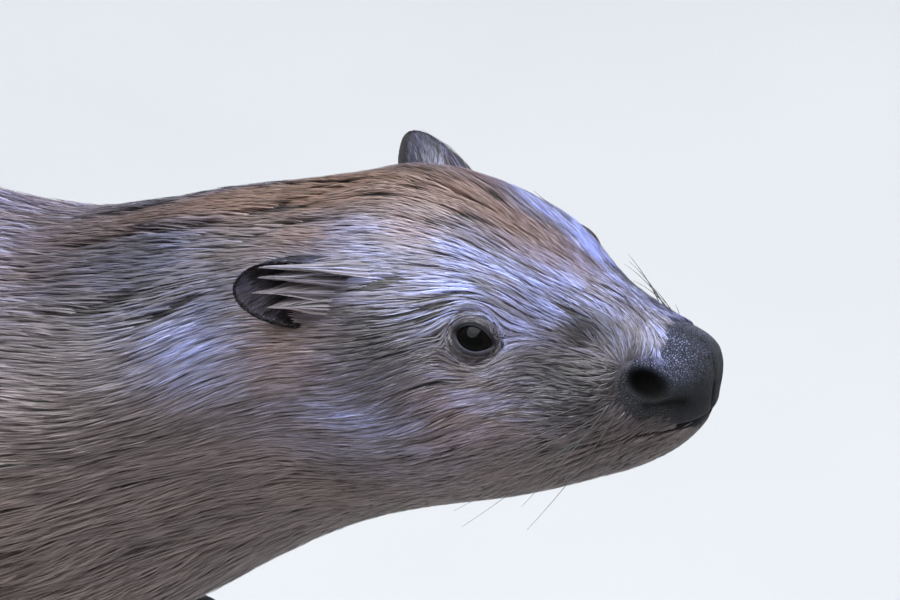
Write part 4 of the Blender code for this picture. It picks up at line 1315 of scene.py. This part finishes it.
def eye_axes():
    """The eye's outward way, its way forward along the head and its way up, each square to the others."""
    outward = unit(EYE_NORMAL)
    forward = unit(np.array((-1.0, 0.0, 0.0)) + outward[0] * outward)
    up = np.cross(outward, forward)
    return outward, forward, up * np.sign(up[2])


def at_eye(x, y, height):
    """Points at x forward, y up and a height outward from the middle of the left eye."""
    outward, forward, up = eye_axes()
    return EYE + x[..., None] * forward + y[..., None] * up + height[..., None] * outward


def head_over_eye(x, y):
    """The skin's height over the eye's own plane at x forward and y up, by Newton's steps on the body."""
    outward, forward, up = eye_axes()
    run = np.full(x.shape, float(run_at(EYE[0] + 2)))
    turn = np.full(x.shape, 0.20)
    for _ in range(9):
        here, by_run, by_turn = BODY.frame(run, turn)[:3]
        miss_x, miss_y = x - (here - EYE) @ forward, y - (here - EYE) @ up
        a, b = by_run @ forward, by_turn @ forward
        c, d = by_run @ up, by_turn @ up
        area = a * d - b * c
        run = run + (d * miss_x - b * miss_y) / area
        turn = turn + (a * miss_y - c * miss_x) / area
    return (body_surface(run, turn) - EYE) @ outward


# Distances of the lids' rows from their edge, and how far the first ones rise off the eyeball.
LID_STEPS = np.concatenate([[0.0, 0.0, 0.25, 0.6, 1.0], np.linspace(1.3, 6.4, 34)])
LID_RISES = np.array((-2.5, 0.05, 0.45, 0.62, 0.66))
LID_COLUMNS = 96


def lid_creases(sin, steps=LID_STEPS[:, None]):
    """Waves in the distance from the lids' edge, strongest a little way out and over the upper lid."""
    fade = np.exp(-(((steps - 3.0) / 2.0) ** 2)) * (steps > 1.0)
    return np.sin((steps - 1.0) * TAU / 1.6) * fade * (0.30 + 0.70 * np.clip(sin, 0, 1))


def crease_marks(points, found):
    """Painted shade: darkens the hair in the lids' creases. Close round the lids it also darkens the hair and
    takes away most of the painted sky reflection.
    """
    _, forward, up = eye_axes()
    rel = on_left(points) - EYE
    x, y = rel @ forward, rel @ up
    reach = np.hypot(x, y)
    edge = 1 / np.hypot(x / reach / 5.9, y / reach / 4.1)
    wave = lid_creases(y / reach, reach - edge)
    close = 1 - ease(reach - edge, 2.2, 5.5)
    found[:, 0] *= 1 - 0.6 * close
    found[:, 2] = np.clip(np.maximum(found[:, 2], 0.60 * close) + np.clip(-1.8 * wave, 0, 0.9), 0, 0.96)
    return found


def lid_grid(sizes):
    """The left eye's lids, from the eyeball over a rounded edge and creases out to the head's skin.

    The opening is an ellipse with its front corner drawn out. Heights fall by the cubic 3t^2 - 2t^3.
    """
    radius, half = sizes.eye_radius / MM, sizes.eye_opening / MM
    angle = np.arange(LID_COLUMNS) / LID_COLUMNS * TAU
    cos, sin = np.cos(angle), np.sin(angle)
    x0 = half * (cos + 0.13 * np.maximum(cos, 0) ** 7 + 0.06 * np.minimum(cos, 0) ** 7)
    y0 = np.where(sin > 0, *LID_HALF_HEIGHTS) * np.sign(sin) * np.abs(sin) ** 1.05 - 0.05 * x0
    stretch = np.minimum(1, 0.97 * radius / np.hypot(x0, y0))
    x0, y0 = x0 * stretch, y0 * stretch
    reach = np.hypot(x0, y0)
    edge = np.sqrt(np.maximum(radius**2 - x0**2 - y0**2, 0.3))
    steps = LID_STEPS[:, None]
    x, y = (start + steps * (start / reach) for start in (x0, y0))
    skin = head_over_eye(x, y)
    share = ease(steps, 1.0, 5.9)
    height = (edge + 0.66) * (1 - share) + (skin + 0.1) * share + 0.30 * lid_creases(sin[None])
    height[: len(LID_RISES)] = edge + LID_RISES[:, None]
    height[-1] = skin[-1] - 0.5
    under, inside = at_eye(x[-1:], y[-1:], skin[-1:] - 3.5), at_eye(x[:1], y[:1], edge[None] - 4.5)
    return np.concatenate([at_eye(x, y, height), under, inside])


def lid_skin(side, sizes):
    """Both lids as one closed ring, with a dark edge, painted shade in the creases, and a painted highlight as
    a wet pale line below the eye, fainter above.
    """
    points = lid_grid(sizes) * (1, side, 1)
    rows = len(points)
    sin = np.sin(np.arange(LID_COLUMNS) / LID_COLUMNS * TAU)[None]
    chart = CHARTS["lids"][side]
    across = between(chart[1::2], np.arange(LID_COLUMNS) / LID_COLUMNS)
    square = squares(between(chart[::2], np.arange(rows) / rows), across)
    quads = grid_quads(rows, LID_COLUMNS, True, True)
    shape = Shape(placed(points.reshape(-1, 3)), quads, None, square, chart[3] - chart[1]).outward()
    lids = np.zeros((rows, LID_COLUMNS, 3))
    steps = LID_STEPS[:, None]
    corner = np.sqrt(1 - sin**2) ** 3
    # The dark edge, and painted shade in the creases.
    dark = (1 - ease(steps - 1.2 * corner, 1.8, 3.8)) + 0.95 * np.clip(-lid_creases(sin), 0, 1)
    lids[:-2, :, 0] = np.clip(dark, 0, 1)
    lids[-2:, :, 0] = 1
    # Painted highlight: a pale wet line below the eye, fainter above.
    lids[:-2, :, 1] = 0.30 * np.exp(-(((steps - 0.33) / 0.16) ** 2)) * ease(-sin, 0.05, 0.6)
    lids[:-2, :, 1] += 0.12 * np.exp(-(((steps - 0.5) / 0.25) ** 2)) * ease(sin, 0.3, 0.9)
    shape.lids = lids.reshape(-1, 3)
    return shape


def lid_surface(sizes, side):
    """The lids as a surface to grow hair on: straight blends between their grid's rows and columns."""
    grid = lid_grid(sizes) * (1, side, 1)

    def at(row, turn):
        i = np.clip(np.floor(row).astype(int), 0, len(LID_STEPS) - 2)
        j = np.floor(turn * LID_COLUMNS).astype(int)
        f, g = (row - i)[..., None], (turn * LID_COLUMNS - j)[..., None]
        low, high = j % LID_COLUMNS, (j + 1) % LID_COLUMNS
        inner, outer = (grid[k, low] * (1 - g) + grid[k, high] * g for k in (i, i + 1))
        return inner * (1 - f) + outer * f

    made = Surface(at, ((0.0, 0.0), (float(len(grid)), 1.0)), (0.5, 0.004), CHARTS["lids"][side])
    return made.faced(30.0, 0.25, EYE * (1, side, 1))


def fore_limb_skin(side):
    """A foreleg, and its paw closed for swimming: a palm with five fingers curled under it."""
    angle = np.arange(40) / 40 * TAU
    u = np.linspace(0.0, 1.0, 36)[:, None]
    leg = loft(leg_surface(FORELEG, side, u, np.cos(angle), np.sin(angle)), CHARTS["foreleg"][side])
    leg.bare = with_ends(ease(u, 0.80, 1.0) * np.ones(40), rear=1.0)
    start, along, across, upward = leg_end(FORELEG, side)
    narrow, thin = FORELEG[-1][3:]
    u = np.linspace(-0.06, 1, 22)[:, None, None]
    turn = angle[None, :, None]
    swell = np.sqrt(np.clip(1 - (u * 0.97) ** 4, 0, 1))
    share = np.sin(np.clip(u, 0, 1) * math.pi / 2)
    wide = between((narrow, PALM_HALF_WIDTH), share) * swell
    thick = between((thin, PALM_HALF_THICKNESS), share) * swell
    palm = start + PALM_LENGTH * u * along + wide * np.cos(turn) * across
    palm = palm + (thick * np.sin(turn) - 7.0 * u**2) * upward
    paw = [loft(palm, CHARTS["fore_paw"][side])]
    paw += [tube(path, radii, 14, FINGER_CHART) for path, radii in finger_paths(side)]
    for shape in paw:
        shape.bare = 1.0
    return [leg, *paw]


def finger_paths(side):
    """For each finger, points along a half-ellipse from the palm's middle round under it, and radii."""
    start, along, across, upward = leg_end(FORELEG, side)
    turn = np.radians(np.linspace(75, -105, 20))[:, None]
    sunk = (1 - 0.5 * (1 - ease(np.linspace(0, 1, 20), 0, 0.33)))[:, None]
    hub = start + 0.55 * PALM_LENGTH * along - 3.5 * upward
    bend = FIST_REACH * np.cos(turn) * along + FIST_HALF_HEIGHT * np.sin(turn) * upward
    t = np.linspace(0, 1, 20)
    radii = FINGER_RADIUS * (1 - 0.25 * t) * (1 + 0.06 * np.cos(t * 3 * TAU))
    return [
        (hub + place * PALM_HALF_WIDTH * across + (1 - 0.15 * place**2) * sunk * bend, radii)
        for place in FINGER_PLACES
    ]


def tube(path, radii, sides, chart):
    """A closed tube along a path, its sections circles square to the path."""
    ahead = unit(np.gradient(path, axis=0))
    outward = unit(np.cross(ahead, (0.13, 0.97, 0.2)))
    upward = np.cross(outward, ahead)
    angle = np.arange(sides) / sides * TAU
    ring = np.cos(angle)[None, :, None] * outward[:, None] + np.sin(angle)[None, :, None] * upward[:, None]
    return loft(path[:, None] + np.asarray(radii)[:, None, None] * ring, chart)


def hind_limb_skin(side, controls, half_width):
    """A hind leg and its webbed foot as one loft from hip to toes."""
    place = foot_places()
    place = np.concatenate([place, place[-2:0:-1]])
    top = np.sqrt(np.clip(1 - place**2, 0, 1))
    top[FOOT_COLUMNS:] *= -1
    u = np.linspace(0.0, 0.985, 32)[:, None]
    leg, foot = leg_surface(controls, side, u, place, top), foot_rings(controls, half_width, side, 50)
    shape = loft(np.concatenate([leg, foot]), CHARTS["hind_limb"][side])
    share = np.concatenate([ease(u, 0.78, 0.98), np.ones((50, 1))])
    shape.bare = with_ends(share * np.ones(len(place)), rear=1.0)
    return shape


class BEAVER_OT_eyes(bpy.types.Operator):
    """Two dark wet eyeballs, each a little fuller over its pupil"""

    bl_idname = "beaver.eyes"
    bl_label = "Eyes"

    def execute(self, context):
        radius = context.scene.beaver_sizes.eye_radius / MM
        outward = unit(EYE_NORMAL)
        from_axis = np.linspace(0, math.pi, 40)[1:-1, None]
        turn = (np.arange(56) / 56 * TAU)[None, :]
        reach = radius + EYE_FULLNESS * np.exp(-((from_axis / 0.55) ** 2))
        spread = reach * np.sin(from_axis)
        ball = at_eye(spread * np.cos(turn), spread * np.sin(turn), reach * np.cos(from_axis))
        poles = EYE + np.array(((radius + EYE_FULLNESS,), (-radius,))) * outward
        for side, word in SIDES:
            flip = (1, side, 1)
            shape = loft(ball * flip, WHOLE_CHART, *(poles * flip))
            material = eye_material(context.scene.beaver_colours, placed(EYE * flip), outward * (-1, side, 1))
            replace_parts(new_piece(f"eyeball_{word}", shape, material), f"eye_{word}")
        return {"FINISHED"}


class BEAVER_OT_claws(bpy.types.Operator):
    """Curved claws on the fingers and toes"""

    bl_idname = "beaver.claws"
    bl_label = "Claws"

    def execute(self, context):
        horn = horn_material("claw_horn", context.scene.beaver_colours.claw)
        fore, hind = [], []
        for side, _ in SIDES:
            upward = leg_end(FORELEG, side)[3]
            for path, _ in finger_paths(side):
                ahead = unit(path[-1] - path[-3])
                fore.append(claw(path[-1] - 2.5 * ahead, ahead, -upward, 11.0, 2.2))
        for side, _, controls, half_width in HIND_SIDES:
            rings = foot_rings(controls, half_width, side, 56)
            middle = (rings + np.roll(rings[:, ::-1], 1, axis=1)) / 2
            for place in TOE_PLACES:
                column = np.abs(foot_places() - place).argmin()
                tip = middle[-1, column]
                ahead = unit(tip - middle[-8, column])
                hind.append(claw(tip - 3 * ahead, ahead, np.array((0, 0, -1.0)), 12.0, 2.6))
        new_piece("claws_fore", joined(fore), horn)
        new_piece("claws_hind", joined(hind), horn)
        return {"FINISHED"}


def claw(root, direction, curl, length, radius):
    """A horn whose path is a parabola that bends towards curl, and whose radius falls to a blunt point."""
    t = np.linspace(0, 1, 12)[:, None]
    path = root + length * (t * direction + 0.35 * t**2 * curl)
    return tube(path, radius * (1.02 - 0.9 * t[:, 0] ** 1.4), 12, WHOLE_CHART)


class BEAVER_OT_whiskers(bpy.types.Operator):
    """Long stiff hairs on the muzzle and over the eyes"""

    bl_idname = "beaver.whiskers"
    bl_label = "Whiskers"

    def execute(self, context):
        sizes = context.scene.beaver_sizes
        rng = np.random.default_rng(31)
        count = sizes.whiskers
        shapes = []
        for side, _ in SIDES:
            row = np.arange(count) % 4
            back = 22 + 2.9 * (np.arange(count) // 4) + 1.2 * row + rng.uniform(-0.8, 0.8, count)
            turn = 0.19 + 0.022 * row + rng.uniform(-0.006, 0.006, count)
            turn = np.concatenate([turn, [0.105, 0.112, 0.120]])
            back = np.concatenate([back, [60, 63, 66]])
            length = sizes.whisker_length / MM * rng.uniform(0.45, 1.0, len(back))
            length[count:] *= 0.6
            root, _, _, normal = BODY.frame(run_at(back), turn)
            way = unit(lie_of_coat(root))
            lean = unit(way * 0.85 + normal * rng.uniform(0.35, 0.75, len(back))[:, None] + (0, 0, -0.1))
            t = np.linspace(0, 1, 12)[:, None]
            droop = np.array((0.25, 0.0, -0.16)) * rng.uniform(0.5, 1.3, (len(back), 1))
            bend = t * lean[:, None] + t**2 * droop[:, None]
            paths = (root - normal)[:, None] + length[:, None, None] * bend
            radii = 0.19 * (1.05 - t[:, 0]) ** 0.8 + 0.03
            shapes += [tube(path * (1, side, 1), radii, 5, WHOLE_CHART) for path in paths]
        new_piece("whiskers", joined(shapes), horn_material("whisker", (0.02, 0.017, 0.016)))
        return {"FINISHED"}


class BEAVER_OT_tail_scales(bpy.types.Operator):
    """Low six-sided scales in staggered rows on both faces of the tail"""

    bl_idname = "beaver.tail_scales"
    bl_label = "Tail scales"

    def execute(self, context):
        size = context.scene.beaver_sizes.scale_length / MM
        rng = np.random.default_rng(17)
        rows = np.arange(TAIL_BARE + 2, 1054.0, size * 0.86)
        half = np.interp(rows, SECTIONS[:, 0], SECTIONS[:, 3])
        row, step = np.meshgrid(np.arange(len(rows)), np.arange(-14, 15), indexing="ij")
        across = (step + 0.5 * (row % 2)) * size * 1.08
        back = rows[row] + rng.uniform(-0.25, 0.25, row.shape)
        share = across / np.maximum(half[row], 1.0)
        keep = np.abs(share) < 0.985
        share, back = np.concatenate([share[keep]] * 2), np.concatenate([back[keep]] * 2)
        upper = np.repeat([True, False], len(share) // 2)
        turn = np.arcsin(np.clip(share, -1, 1)) / TAU
        turn = np.where(upper, turn, 0.5 - turn) % 1.0
        point, by_run, by_turn, normal = BODY.frame(run_at(back), turn)
        ahead, side = unit(by_run), unit(by_turn)
        corner = np.arange(6) / 6 * TAU
        wide = size * 0.60 * np.minimum(1.0, 0.35 + 1.1 * np.sqrt(np.clip(1 - share**2, 0, 1)))
        spread = (size * 0.56 * np.cos(corner))[:, None] * ahead[:, None]
        spread = spread + wide[:, None, None] * np.sin(corner)[:, None] * side[:, None]
        point, normal = point[:, None], normal[:, None]
        outer, inner = point + spread - 0.28 * normal, point + 0.66 * spread + 0.34 * normal
        points = np.concatenate([outer, inner, point + 0.46 * normal], axis=1)
        k = np.arange(len(points))[:, None, None] * 13
        a = np.arange(6)
        b = (a + 1) % 6
        quads = (k + np.stack([b, a, a + 6, b + 6], axis=-1)).reshape(-1, 4)
        triangles = (k + np.stack([b + 6, a + 6, np.full(6, 12)], axis=-1)).reshape(-1, 3)
        lock = np.zeros((len(points), 13, 3))
        lock[..., 0] = [0.0] * 6 + [0.7] * 6 + [1.0]
        lock[..., 2] = rng.random(len(points))[:, None]
        ring = np.stack([np.cos(corner), np.sin(corner)], axis=-1)
        patch = 0.0015 * np.concatenate([ring, 0.6 * ring, [(0, 0)]])
        square = BODY.charted(run_at(back), turn)[:, None] + patch
        shape = Shape(placed(points.reshape(-1, 3)), quads, triangles, square.reshape(-1, 2))
        new_piece("tail_scales", shape, scale_material(), {"lock": lock.reshape(-1, 3)})
        return {"FINISHED"}


# Stretches of the coat: name, start and end behind the nose, and the number of locks on each side.
COAT_STRETCHES = (
    ("muzzle", 4, 46, 13000),
    ("face", 44, 92, 21000),
    ("crown", 90, 150, 23000),
    ("nape", 148, 214, 17000),
    ("shoulder", 212, 330, 19000),
    ("flank", 328, 560, 17000),
    ("rump", 558, TAIL_BARE + 4, 15000),
)


class BEAVER_OT_coat(bpy.types.Operator):
    """The wet coat of head, neck, body and root of the tail, in locks that follow the lie of the fur"""

    bl_idname = "beaver.coat"
    bl_label = "Coat"

    def execute(self, context):
        fur = coat_material(context.scene.beaver_colours)
        for number, (word, start, end, count) in enumerate(COAT_STRETCHES):
            runs = (float(run_at(start)), float(run_at(end)))
            for half, turns, seed in (("left", (-0.015, 0.515), 101), ("right", (0.485, 1.015), 100)):
                name = f"coat_{word}_{half}"
                lay_coat(name, BODY, runs, turns, count, fur, seed + number * 2, keep=growing_skin)
        return {"FINISHED"}


class BEAVER_OT_ear_fur(bpy.types.Operator):
    """Short fur on both faces of the ears, and wet points of fur that cross their openings"""

    bl_idname = "beaver.ear_fur"
    bl_label = "Ear fur"

    def execute(self, context):
        fur = coat_material(context.scene.beaver_colours)
        for side, word in SIDES:
            ear_coat(side, word, fur)
            ear_points_of_fur(side, word, fur)
        return {"FINISHED"}


def ear_coat(side, word, fur):
    """Short hairs on the ear's two faces: along the rim inside, and outward outside, with painted shade in the
    depth.
    """
    flip = (1, side, 1)
    span = ((0.0, EAR_TURNS[0]), (1.0, EAR_TURNS[1]))
    surface = Surface(lambda wall, t: ear_surface(wall, t, side), span, (0.001, 0.002), CHARTS["ear"][side])
    surface.faced(0.8, 0.0, EAR_RIM * flip)
    plane = unit(EAR_RIM - EAR_BOTTOM)

    def depth_in(points):
        return (EAR_RIM - points * flip) @ plane

    def lower(points):
        return 1.05 * np.maximum(30 - points[:, 2], 0)

    def inner_way(points):
        spoke = points * flip - EAR_RIM
        round_it = np.cross(unit(spoke - (spoke @ plane)[:, None] * plane), plane)
        return (plane - 0.25 * round_it * np.sign(round_it[:, 2:])) * flip

    def outer_way(points):
        return (unit(points * flip - EAR_BOTTOM) + (0.5, 0.1, -0.1)) * flip

    def inner_marks(points, found):
        # Painted shade deep in the ear and over its front part, and a painted sky reflection that grows upward
        # near the rim.
        deep = ease(depth_in(points), 1.5, 7.0)
        ahead = 1 - ease(points[:, 0] + lower(points), 147.5, 151.5)
        found[:, 0] = (0.20 + 0.25 * ease(points[:, 2], 26, 38)) * (1 - deep)
        found[:, 1] = 0.15
        found[:, 2] = np.clip(0.55 + 0.6 * deep + 0.9 * ahead, 0, 1)
        return found

    def outer_marks(points, found):
        # Painted shade at the ear's rear edge and lower down, a painted sky reflection that grows upward, and
        # darker fur towards the back.
        rear = ease(points[:, 0] - 1.2 * (points[:, 2] - 34), 141, 148)
        found[:, 0], found[:, 1] = 0.35 + 0.35 * ease(points[:, 2], 24, 38), 0.1
        plain = 0.45 + 0.45 * ease(points[:, 0], 122, 134)
        found[:, 2] = np.clip(plain + 0.2 * (1 - ease(points[:, 2], 22, 36)) + 0.8 * rear, 0, 1)
        return found

    def shallow(points):
        return depth_in(points) < np.where(points[:, 0] + lower(points) > 149, 7.0, 0.6)

    def small(value):
        return lambda points: np.full(len(points), value)

    turns = (EAR_TURNS[0] + 0.04, EAR_TURNS[1] - 0.04)
    inside = {"way": inner_way, "length": small(7.0), "marks": inner_marks, "keep": shallow}
    outside = {"way": outer_way, "length": small(5.5), "marks": outer_marks}
    for face, walls, seed, options in (
        ("inside", (0.05, 0.52), 301 + side, inside),
        ("outside", (0.46, 0.97), 305 + side, outside),
    ):
        options.update(width=small(0.34), depth=small(0.6), wet=0.8)
        lay_coat(f"coat_ear_{face}_{word}", surface, walls, turns, 3600, fur, seed, **options)


# Wet points of fur at the ear: each one's tip, and the height of the middle of its roots.
EAR_POINTS = (
    ((148, 54.0, 38.4), 38.5),
    ((148, 56.5, 34.6), 33.5),
    ((149.5, 57.0, 28.6), 28.5),
    ((144, 56.0, 23.8), 24.0),
)
EAR_POINT_LOCKS = 130


def ear_points_of_fur(side, word, fur):
    """Wet points of fur over the ear's opening and front rim: roots spread over a strip, and tips that meet.

    A lock goes straight from its root to the tip, closes in on the middle one, and bows out by half a sine.
    """
    rng = np.random.default_rng(77 + side)
    flip, each = (1, side, 1), EAR_POINT_LOCKS
    shapes, locks, marks = [], [], []
    for tip, up in EAR_POINTS:
        root_back = np.interp(up, (27, 33, 37), (131, 127, 116)) + rng.uniform(-9, 6, each)
        offset = rng.uniform(-2.7, 2.7 if up < 38 else 1.2, each)
        turn = np.full(each, 0.2)
        for _ in range(8):
            here, _, by_turn, normal = BODY.frame(run_at(root_back), turn)
            turn = turn + (up + offset - here[:, 2]) / by_turn[:, 2]
        middle = here - offset[:, None] * (0, 0, 1)
        reach = np.linspace(0, 1, 4) * rng.uniform(0.6, 1.0, each)[:, None]
        paths = middle[:, None] + (np.asarray(tip) - middle)[:, None] * reach[..., None]
        kept = 1 - 0.97 * ease(reach, 0.12, 0.78 if up < 37 else 0.95)
        paths[..., 2] += offset[:, None] * kept
        bow = np.sin(math.pi * reach) * rng.uniform(0.6, 2.2, each)[:, None] + 1.9 * reach - 0.8
        paths = paths + normal[:, None] * bow[..., None]
        proud = 50.7 + 0.478 * (paths[..., 0] - 137) + rng.uniform(0, 1.3, each)[:, None]
        paths[..., 1] += np.maximum(proud - paths[..., 1], 0) * ease(reach, 0.05, 0.8)
        normals = np.repeat(normal[:, None], 4, axis=1) * flip
        width = rng.uniform(0.35, 0.6, each)
        square = BODY.charted(run_at(root_back), side * turn)
        roll, level = rng.normal(0, 0.2, each), np.zeros((each, 4))
        shape, across, along = lock_shape(paths * flip, normals, width, level, roll, square)
        shapes.append(shape)
        marks.append(np.repeat(markings_and_painted_light(paths[:, 0]) * (0.75, 0.8, 0.5, 0), BLADE_POINTS, axis=0))
        locks.append(lock_field(across, 0.1 + 0.9 * along, width, rng.uniform(0.05, 0.8, each), rng))
    fields = {"markings_and_painted_light": np.concatenate(marks), "lock": np.concatenate(locks)}
    new_piece(f"coat_ear_points_{word}", joined(shapes), fur, fields)


class BEAVER_OT_lid_fur(bpy.types.Operator):
    """The finest hair, on the lids round each eye"""

    bl_idname = "beaver.lid_fur"
    bl_label = "Lid fur"

    def execute(self, context):
        fur = coat_material(context.scene.beaver_colours)

        def grown(low, high):
            """A value that grows with the distance from the eye's middle."""

            def at(points):
                return between((low, high), ease(from_eye(points, unit(EYE_NORMAL)), 7.5, 12.5))

            return at

        options = {"length": grown(2.2, 6.0), "width": grown(0.20, 0.34), "depth": grown(0.12, 0.9)}
        options.update(wet=0.8, marks=crease_marks)
        rows = (7.0, len(LID_STEPS) - 2.0)
        for side, word in SIDES:
            surface = lid_surface(context.scene.beaver_sizes, side)
            lay_coat(f"coat_lids_{word}", surface, rows, (0.0, 1.0), 2400, fur, 351 + side, **options)
        return {"FINISHED"}


class BEAVER_OT_leg_fur(bpy.types.Operator):
    """The coat of the four legs, down to the wrists and ankles"""

    bl_idname = "beaver.leg_fur"
    bl_label = "Leg fur"

    def execute(self, context):
        fur = coat_material(context.scene.beaver_colours)
        legs = [(side, word, FORELEG, "fore", 4500) for side, word in SIDES]
        legs += [(side, word, controls, "hind", 7000) for side, word, controls, _ in HIND_SIDES]
        for number, leg in enumerate(legs):
            leg_coat(*leg, fur, 400 + number)
        return {"FINISHED"}


def leg_coat(side, word, controls, pair, count, fur, seed):
    """Locks that lie down the leg and backward, growing shorter towards the foot."""
    flip = (1, side, 1)

    def at(u, turn):
        return leg_surface(controls, side, u, np.cos(TAU * turn), np.sin(TAU * turn))

    surface = Surface(at, ((0.0, 0.0), (1.0, 1.0)), (0.002, 0.001), CHARTS[f"{pair}leg"][side])
    surface.faced(0.5, 0.0, bezier(controls, 0.5)[:3] * flip)
    line = bezier(controls, np.linspace(0, 1, 60))[:, :3] * flip
    ahead = unit(np.gradient(line, axis=0))

    def nearest(points):
        """Number of the nearest of 60 points along the leg."""
        return np.linalg.norm(points[:, None] - line[None], axis=-1).argmin(axis=1)

    def along(*values):
        """Values at four places along the leg, and straight between them."""
        return lambda points: np.interp(nearest(points), (0, 30, 50, 59), values)

    lay_coat(
        f"coat_{pair}leg_{word}",
        surface,
        (0.02, 0.97),
        (0.0, 1.0),
        count,
        fur,
        seed,
        way=lambda points: ahead[nearest(points)] + (0.45, 0.0, 0.0),
        length=along(30.0, 20.0, 11.0, 6.0),
        width=along(1.4, 1.1, 0.7, 0.5),
        depth=lambda points: leg_coat_depth(nearest(points) / 59) + 0.3,
    )


class BEAVER_OT_stand(bpy.types.Operator):
    """Finishes for the stand's wooden base and steel rods"""

    bl_idname = "beaver.stand"
    bl_label = "Stand"

    def execute(self, context):
        colours = context.scene.beaver_colours
        wood, steel = wood_material(tuple(colours.wood)), steel_material(tuple(colours.steel))
        for name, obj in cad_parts.items():
            if name.startswith("stand_"):
                for slot in obj.material_slots:
                    slot.material = wood if name == "stand_base" else steel
        return {"FINISHED"}


TARGET = np.array((0.442, -0.030, 0.470))  # the middle of the head, in metres


class BEAVER_OT_stage(bpy.types.Operator):
    """Pale floor, soft lamps and the camera"""

    bl_idname = "beaver.stage"
    bl_label = "Stage"

    def execute(self, context):
        scene = context.scene
        stage = scene.beaver_stage
        angle = np.arange(64) / 64 * TAU
        reach = np.linspace(0, 1, 12)[1:, None] ** 1.5 * 9
        rings = np.stack([reach * np.cos(angle), reach * np.sin(angle), np.zeros((11, 64))], axis=-1)
        points = np.concatenate([rings.reshape(-1, 3), [(0, 0, 0)]])
        fan = [(k, (k + 1) % 64, 704) for k in range(64)]
        mesh = bpy.data.meshes.new("floor")
        mesh.from_pydata(points.tolist(), [], grid_quads(11, 64)[:, ::-1].tolist() + fan)
        mesh.materials.append(floor_material(scene.beaver_colours.floor))
        floor = bpy.data.objects.new("floor", mesh)
        scene.collection.objects.link(floor)
        world = bpy.data.worlds.new("studio")
        world.use_nodes = True
        sky = world.node_tree.nodes["Background"].inputs
        sky["Color"].default_value = (0.80, 0.84, 0.92, 1)
        sky["Strength"].default_value = 0.55
        scene.world = world
        lamp("key", (-0.15, 0.12, 1.95), 2.4, stage.key_power, (0.90, 0.94, 1.0))
        fill = lamp("fill", (1.2, -2.2, 1.0), 1.6, stage.fill_power, (1.0, 0.97, 0.93))
        fill.visible_glossy = False
        glint = lamp("glint", (-0.35, -0.9, 2.4), 3.6, stage.glint_power, (0.95, 0.97, 1.0))
        glint.visible_diffuse = False
        turn, height = stage.azimuth, stage.elevation
        level = math.cos(height)
        back = np.array((math.sin(turn) * level, -math.cos(turn) * level, math.sin(height)))
        data = bpy.data.cameras.new("camera")
        data.lens, data.sensor_width, data.clip_end = stage.lens, 36.0, 100.0
        scene.camera = aimed("camera", data, back * stage.distance)
        scene.view_settings.view_transform = "Standard"
        return {"FINISHED"}


def aimed(name, data, away):
    """A new camera or lamp, away from the head by this much, with its -Z towards the head and its X level."""
    made = bpy.data.objects.new(name, data)
    made.location = TARGET + away
    back = unit(np.asarray(away, float))
    made.rotation_euler = (math.acos(back[2]), 0.0, math.atan2(back[0], -back[1]))
    bpy.context.scene.collection.objects.link(made)
    return made


def lamp(name, away, size, power, colour):
    """A round lamp that points at the head."""
    data = bpy.data.lights.new(name, "AREA")
    data.shape, data.size, data.energy, data.color = "DISK", size, power, colour
    return aimed(name, data, away)


class BEAVER_PT_panel(bpy.types.Panel):
    """Settings of the beaver and the operators that build its pieces"""

    bl_label = "Beaver"
    bl_idname = "BEAVER_PT_panel"
    bl_space_type = "VIEW_3D"
    bl_region_type = "UI"
    bl_category = "Beaver"

    def draw(self, context):
        for group in (context.scene.beaver_sizes, context.scene.beaver_colours, context.scene.beaver_stage):
            box = self.layout.box()
            for key in group.bl_rna.properties.keys():
                if key not in ("rna_type", "name"):
                    box.prop(group, key)
        for operator in OPERATORS:
            self.layout.operator(operator.bl_idname)


OPERATORS = (
    BEAVER_OT_skin,
    BEAVER_OT_eyes,
    BEAVER_OT_claws,
    BEAVER_OT_whiskers,
    BEAVER_OT_tail_scales,
    BEAVER_OT_coat,
    BEAVER_OT_ear_fur,
    BEAVER_OT_lid_fur,
    BEAVER_OT_leg_fur,
    BEAVER_OT_stand,
    BEAVER_OT_stage,
)
GROUPS = (("beaver_sizes", BeaverSizes), ("beaver_colours", BeaverColours), ("beaver_stage", BeaverStage))


def register():
    for name, group in GROUPS:
        bpy.utils.register_class(group)
        setattr(bpy.types.Scene, name, PointerProperty(type=group))
    for made in (*OPERATORS, BEAVER_PT_panel):
        bpy.utils.register_class(made)


def unregister():
    for made in (BEAVER_PT_panel, *reversed(OPERATORS)):
        bpy.utils.unregister_class(made)
    for name, group in reversed(GROUPS):
        delattr(bpy.types.Scene, name)
        bpy.utils.unregister_class(group)


def main():
    register()
    for operator in OPERATORS:
        group, word = operator.bl_idname.split(".")
        getattr(getattr(bpy.ops, group), word)()


if __name__ == "__main__":
    main()
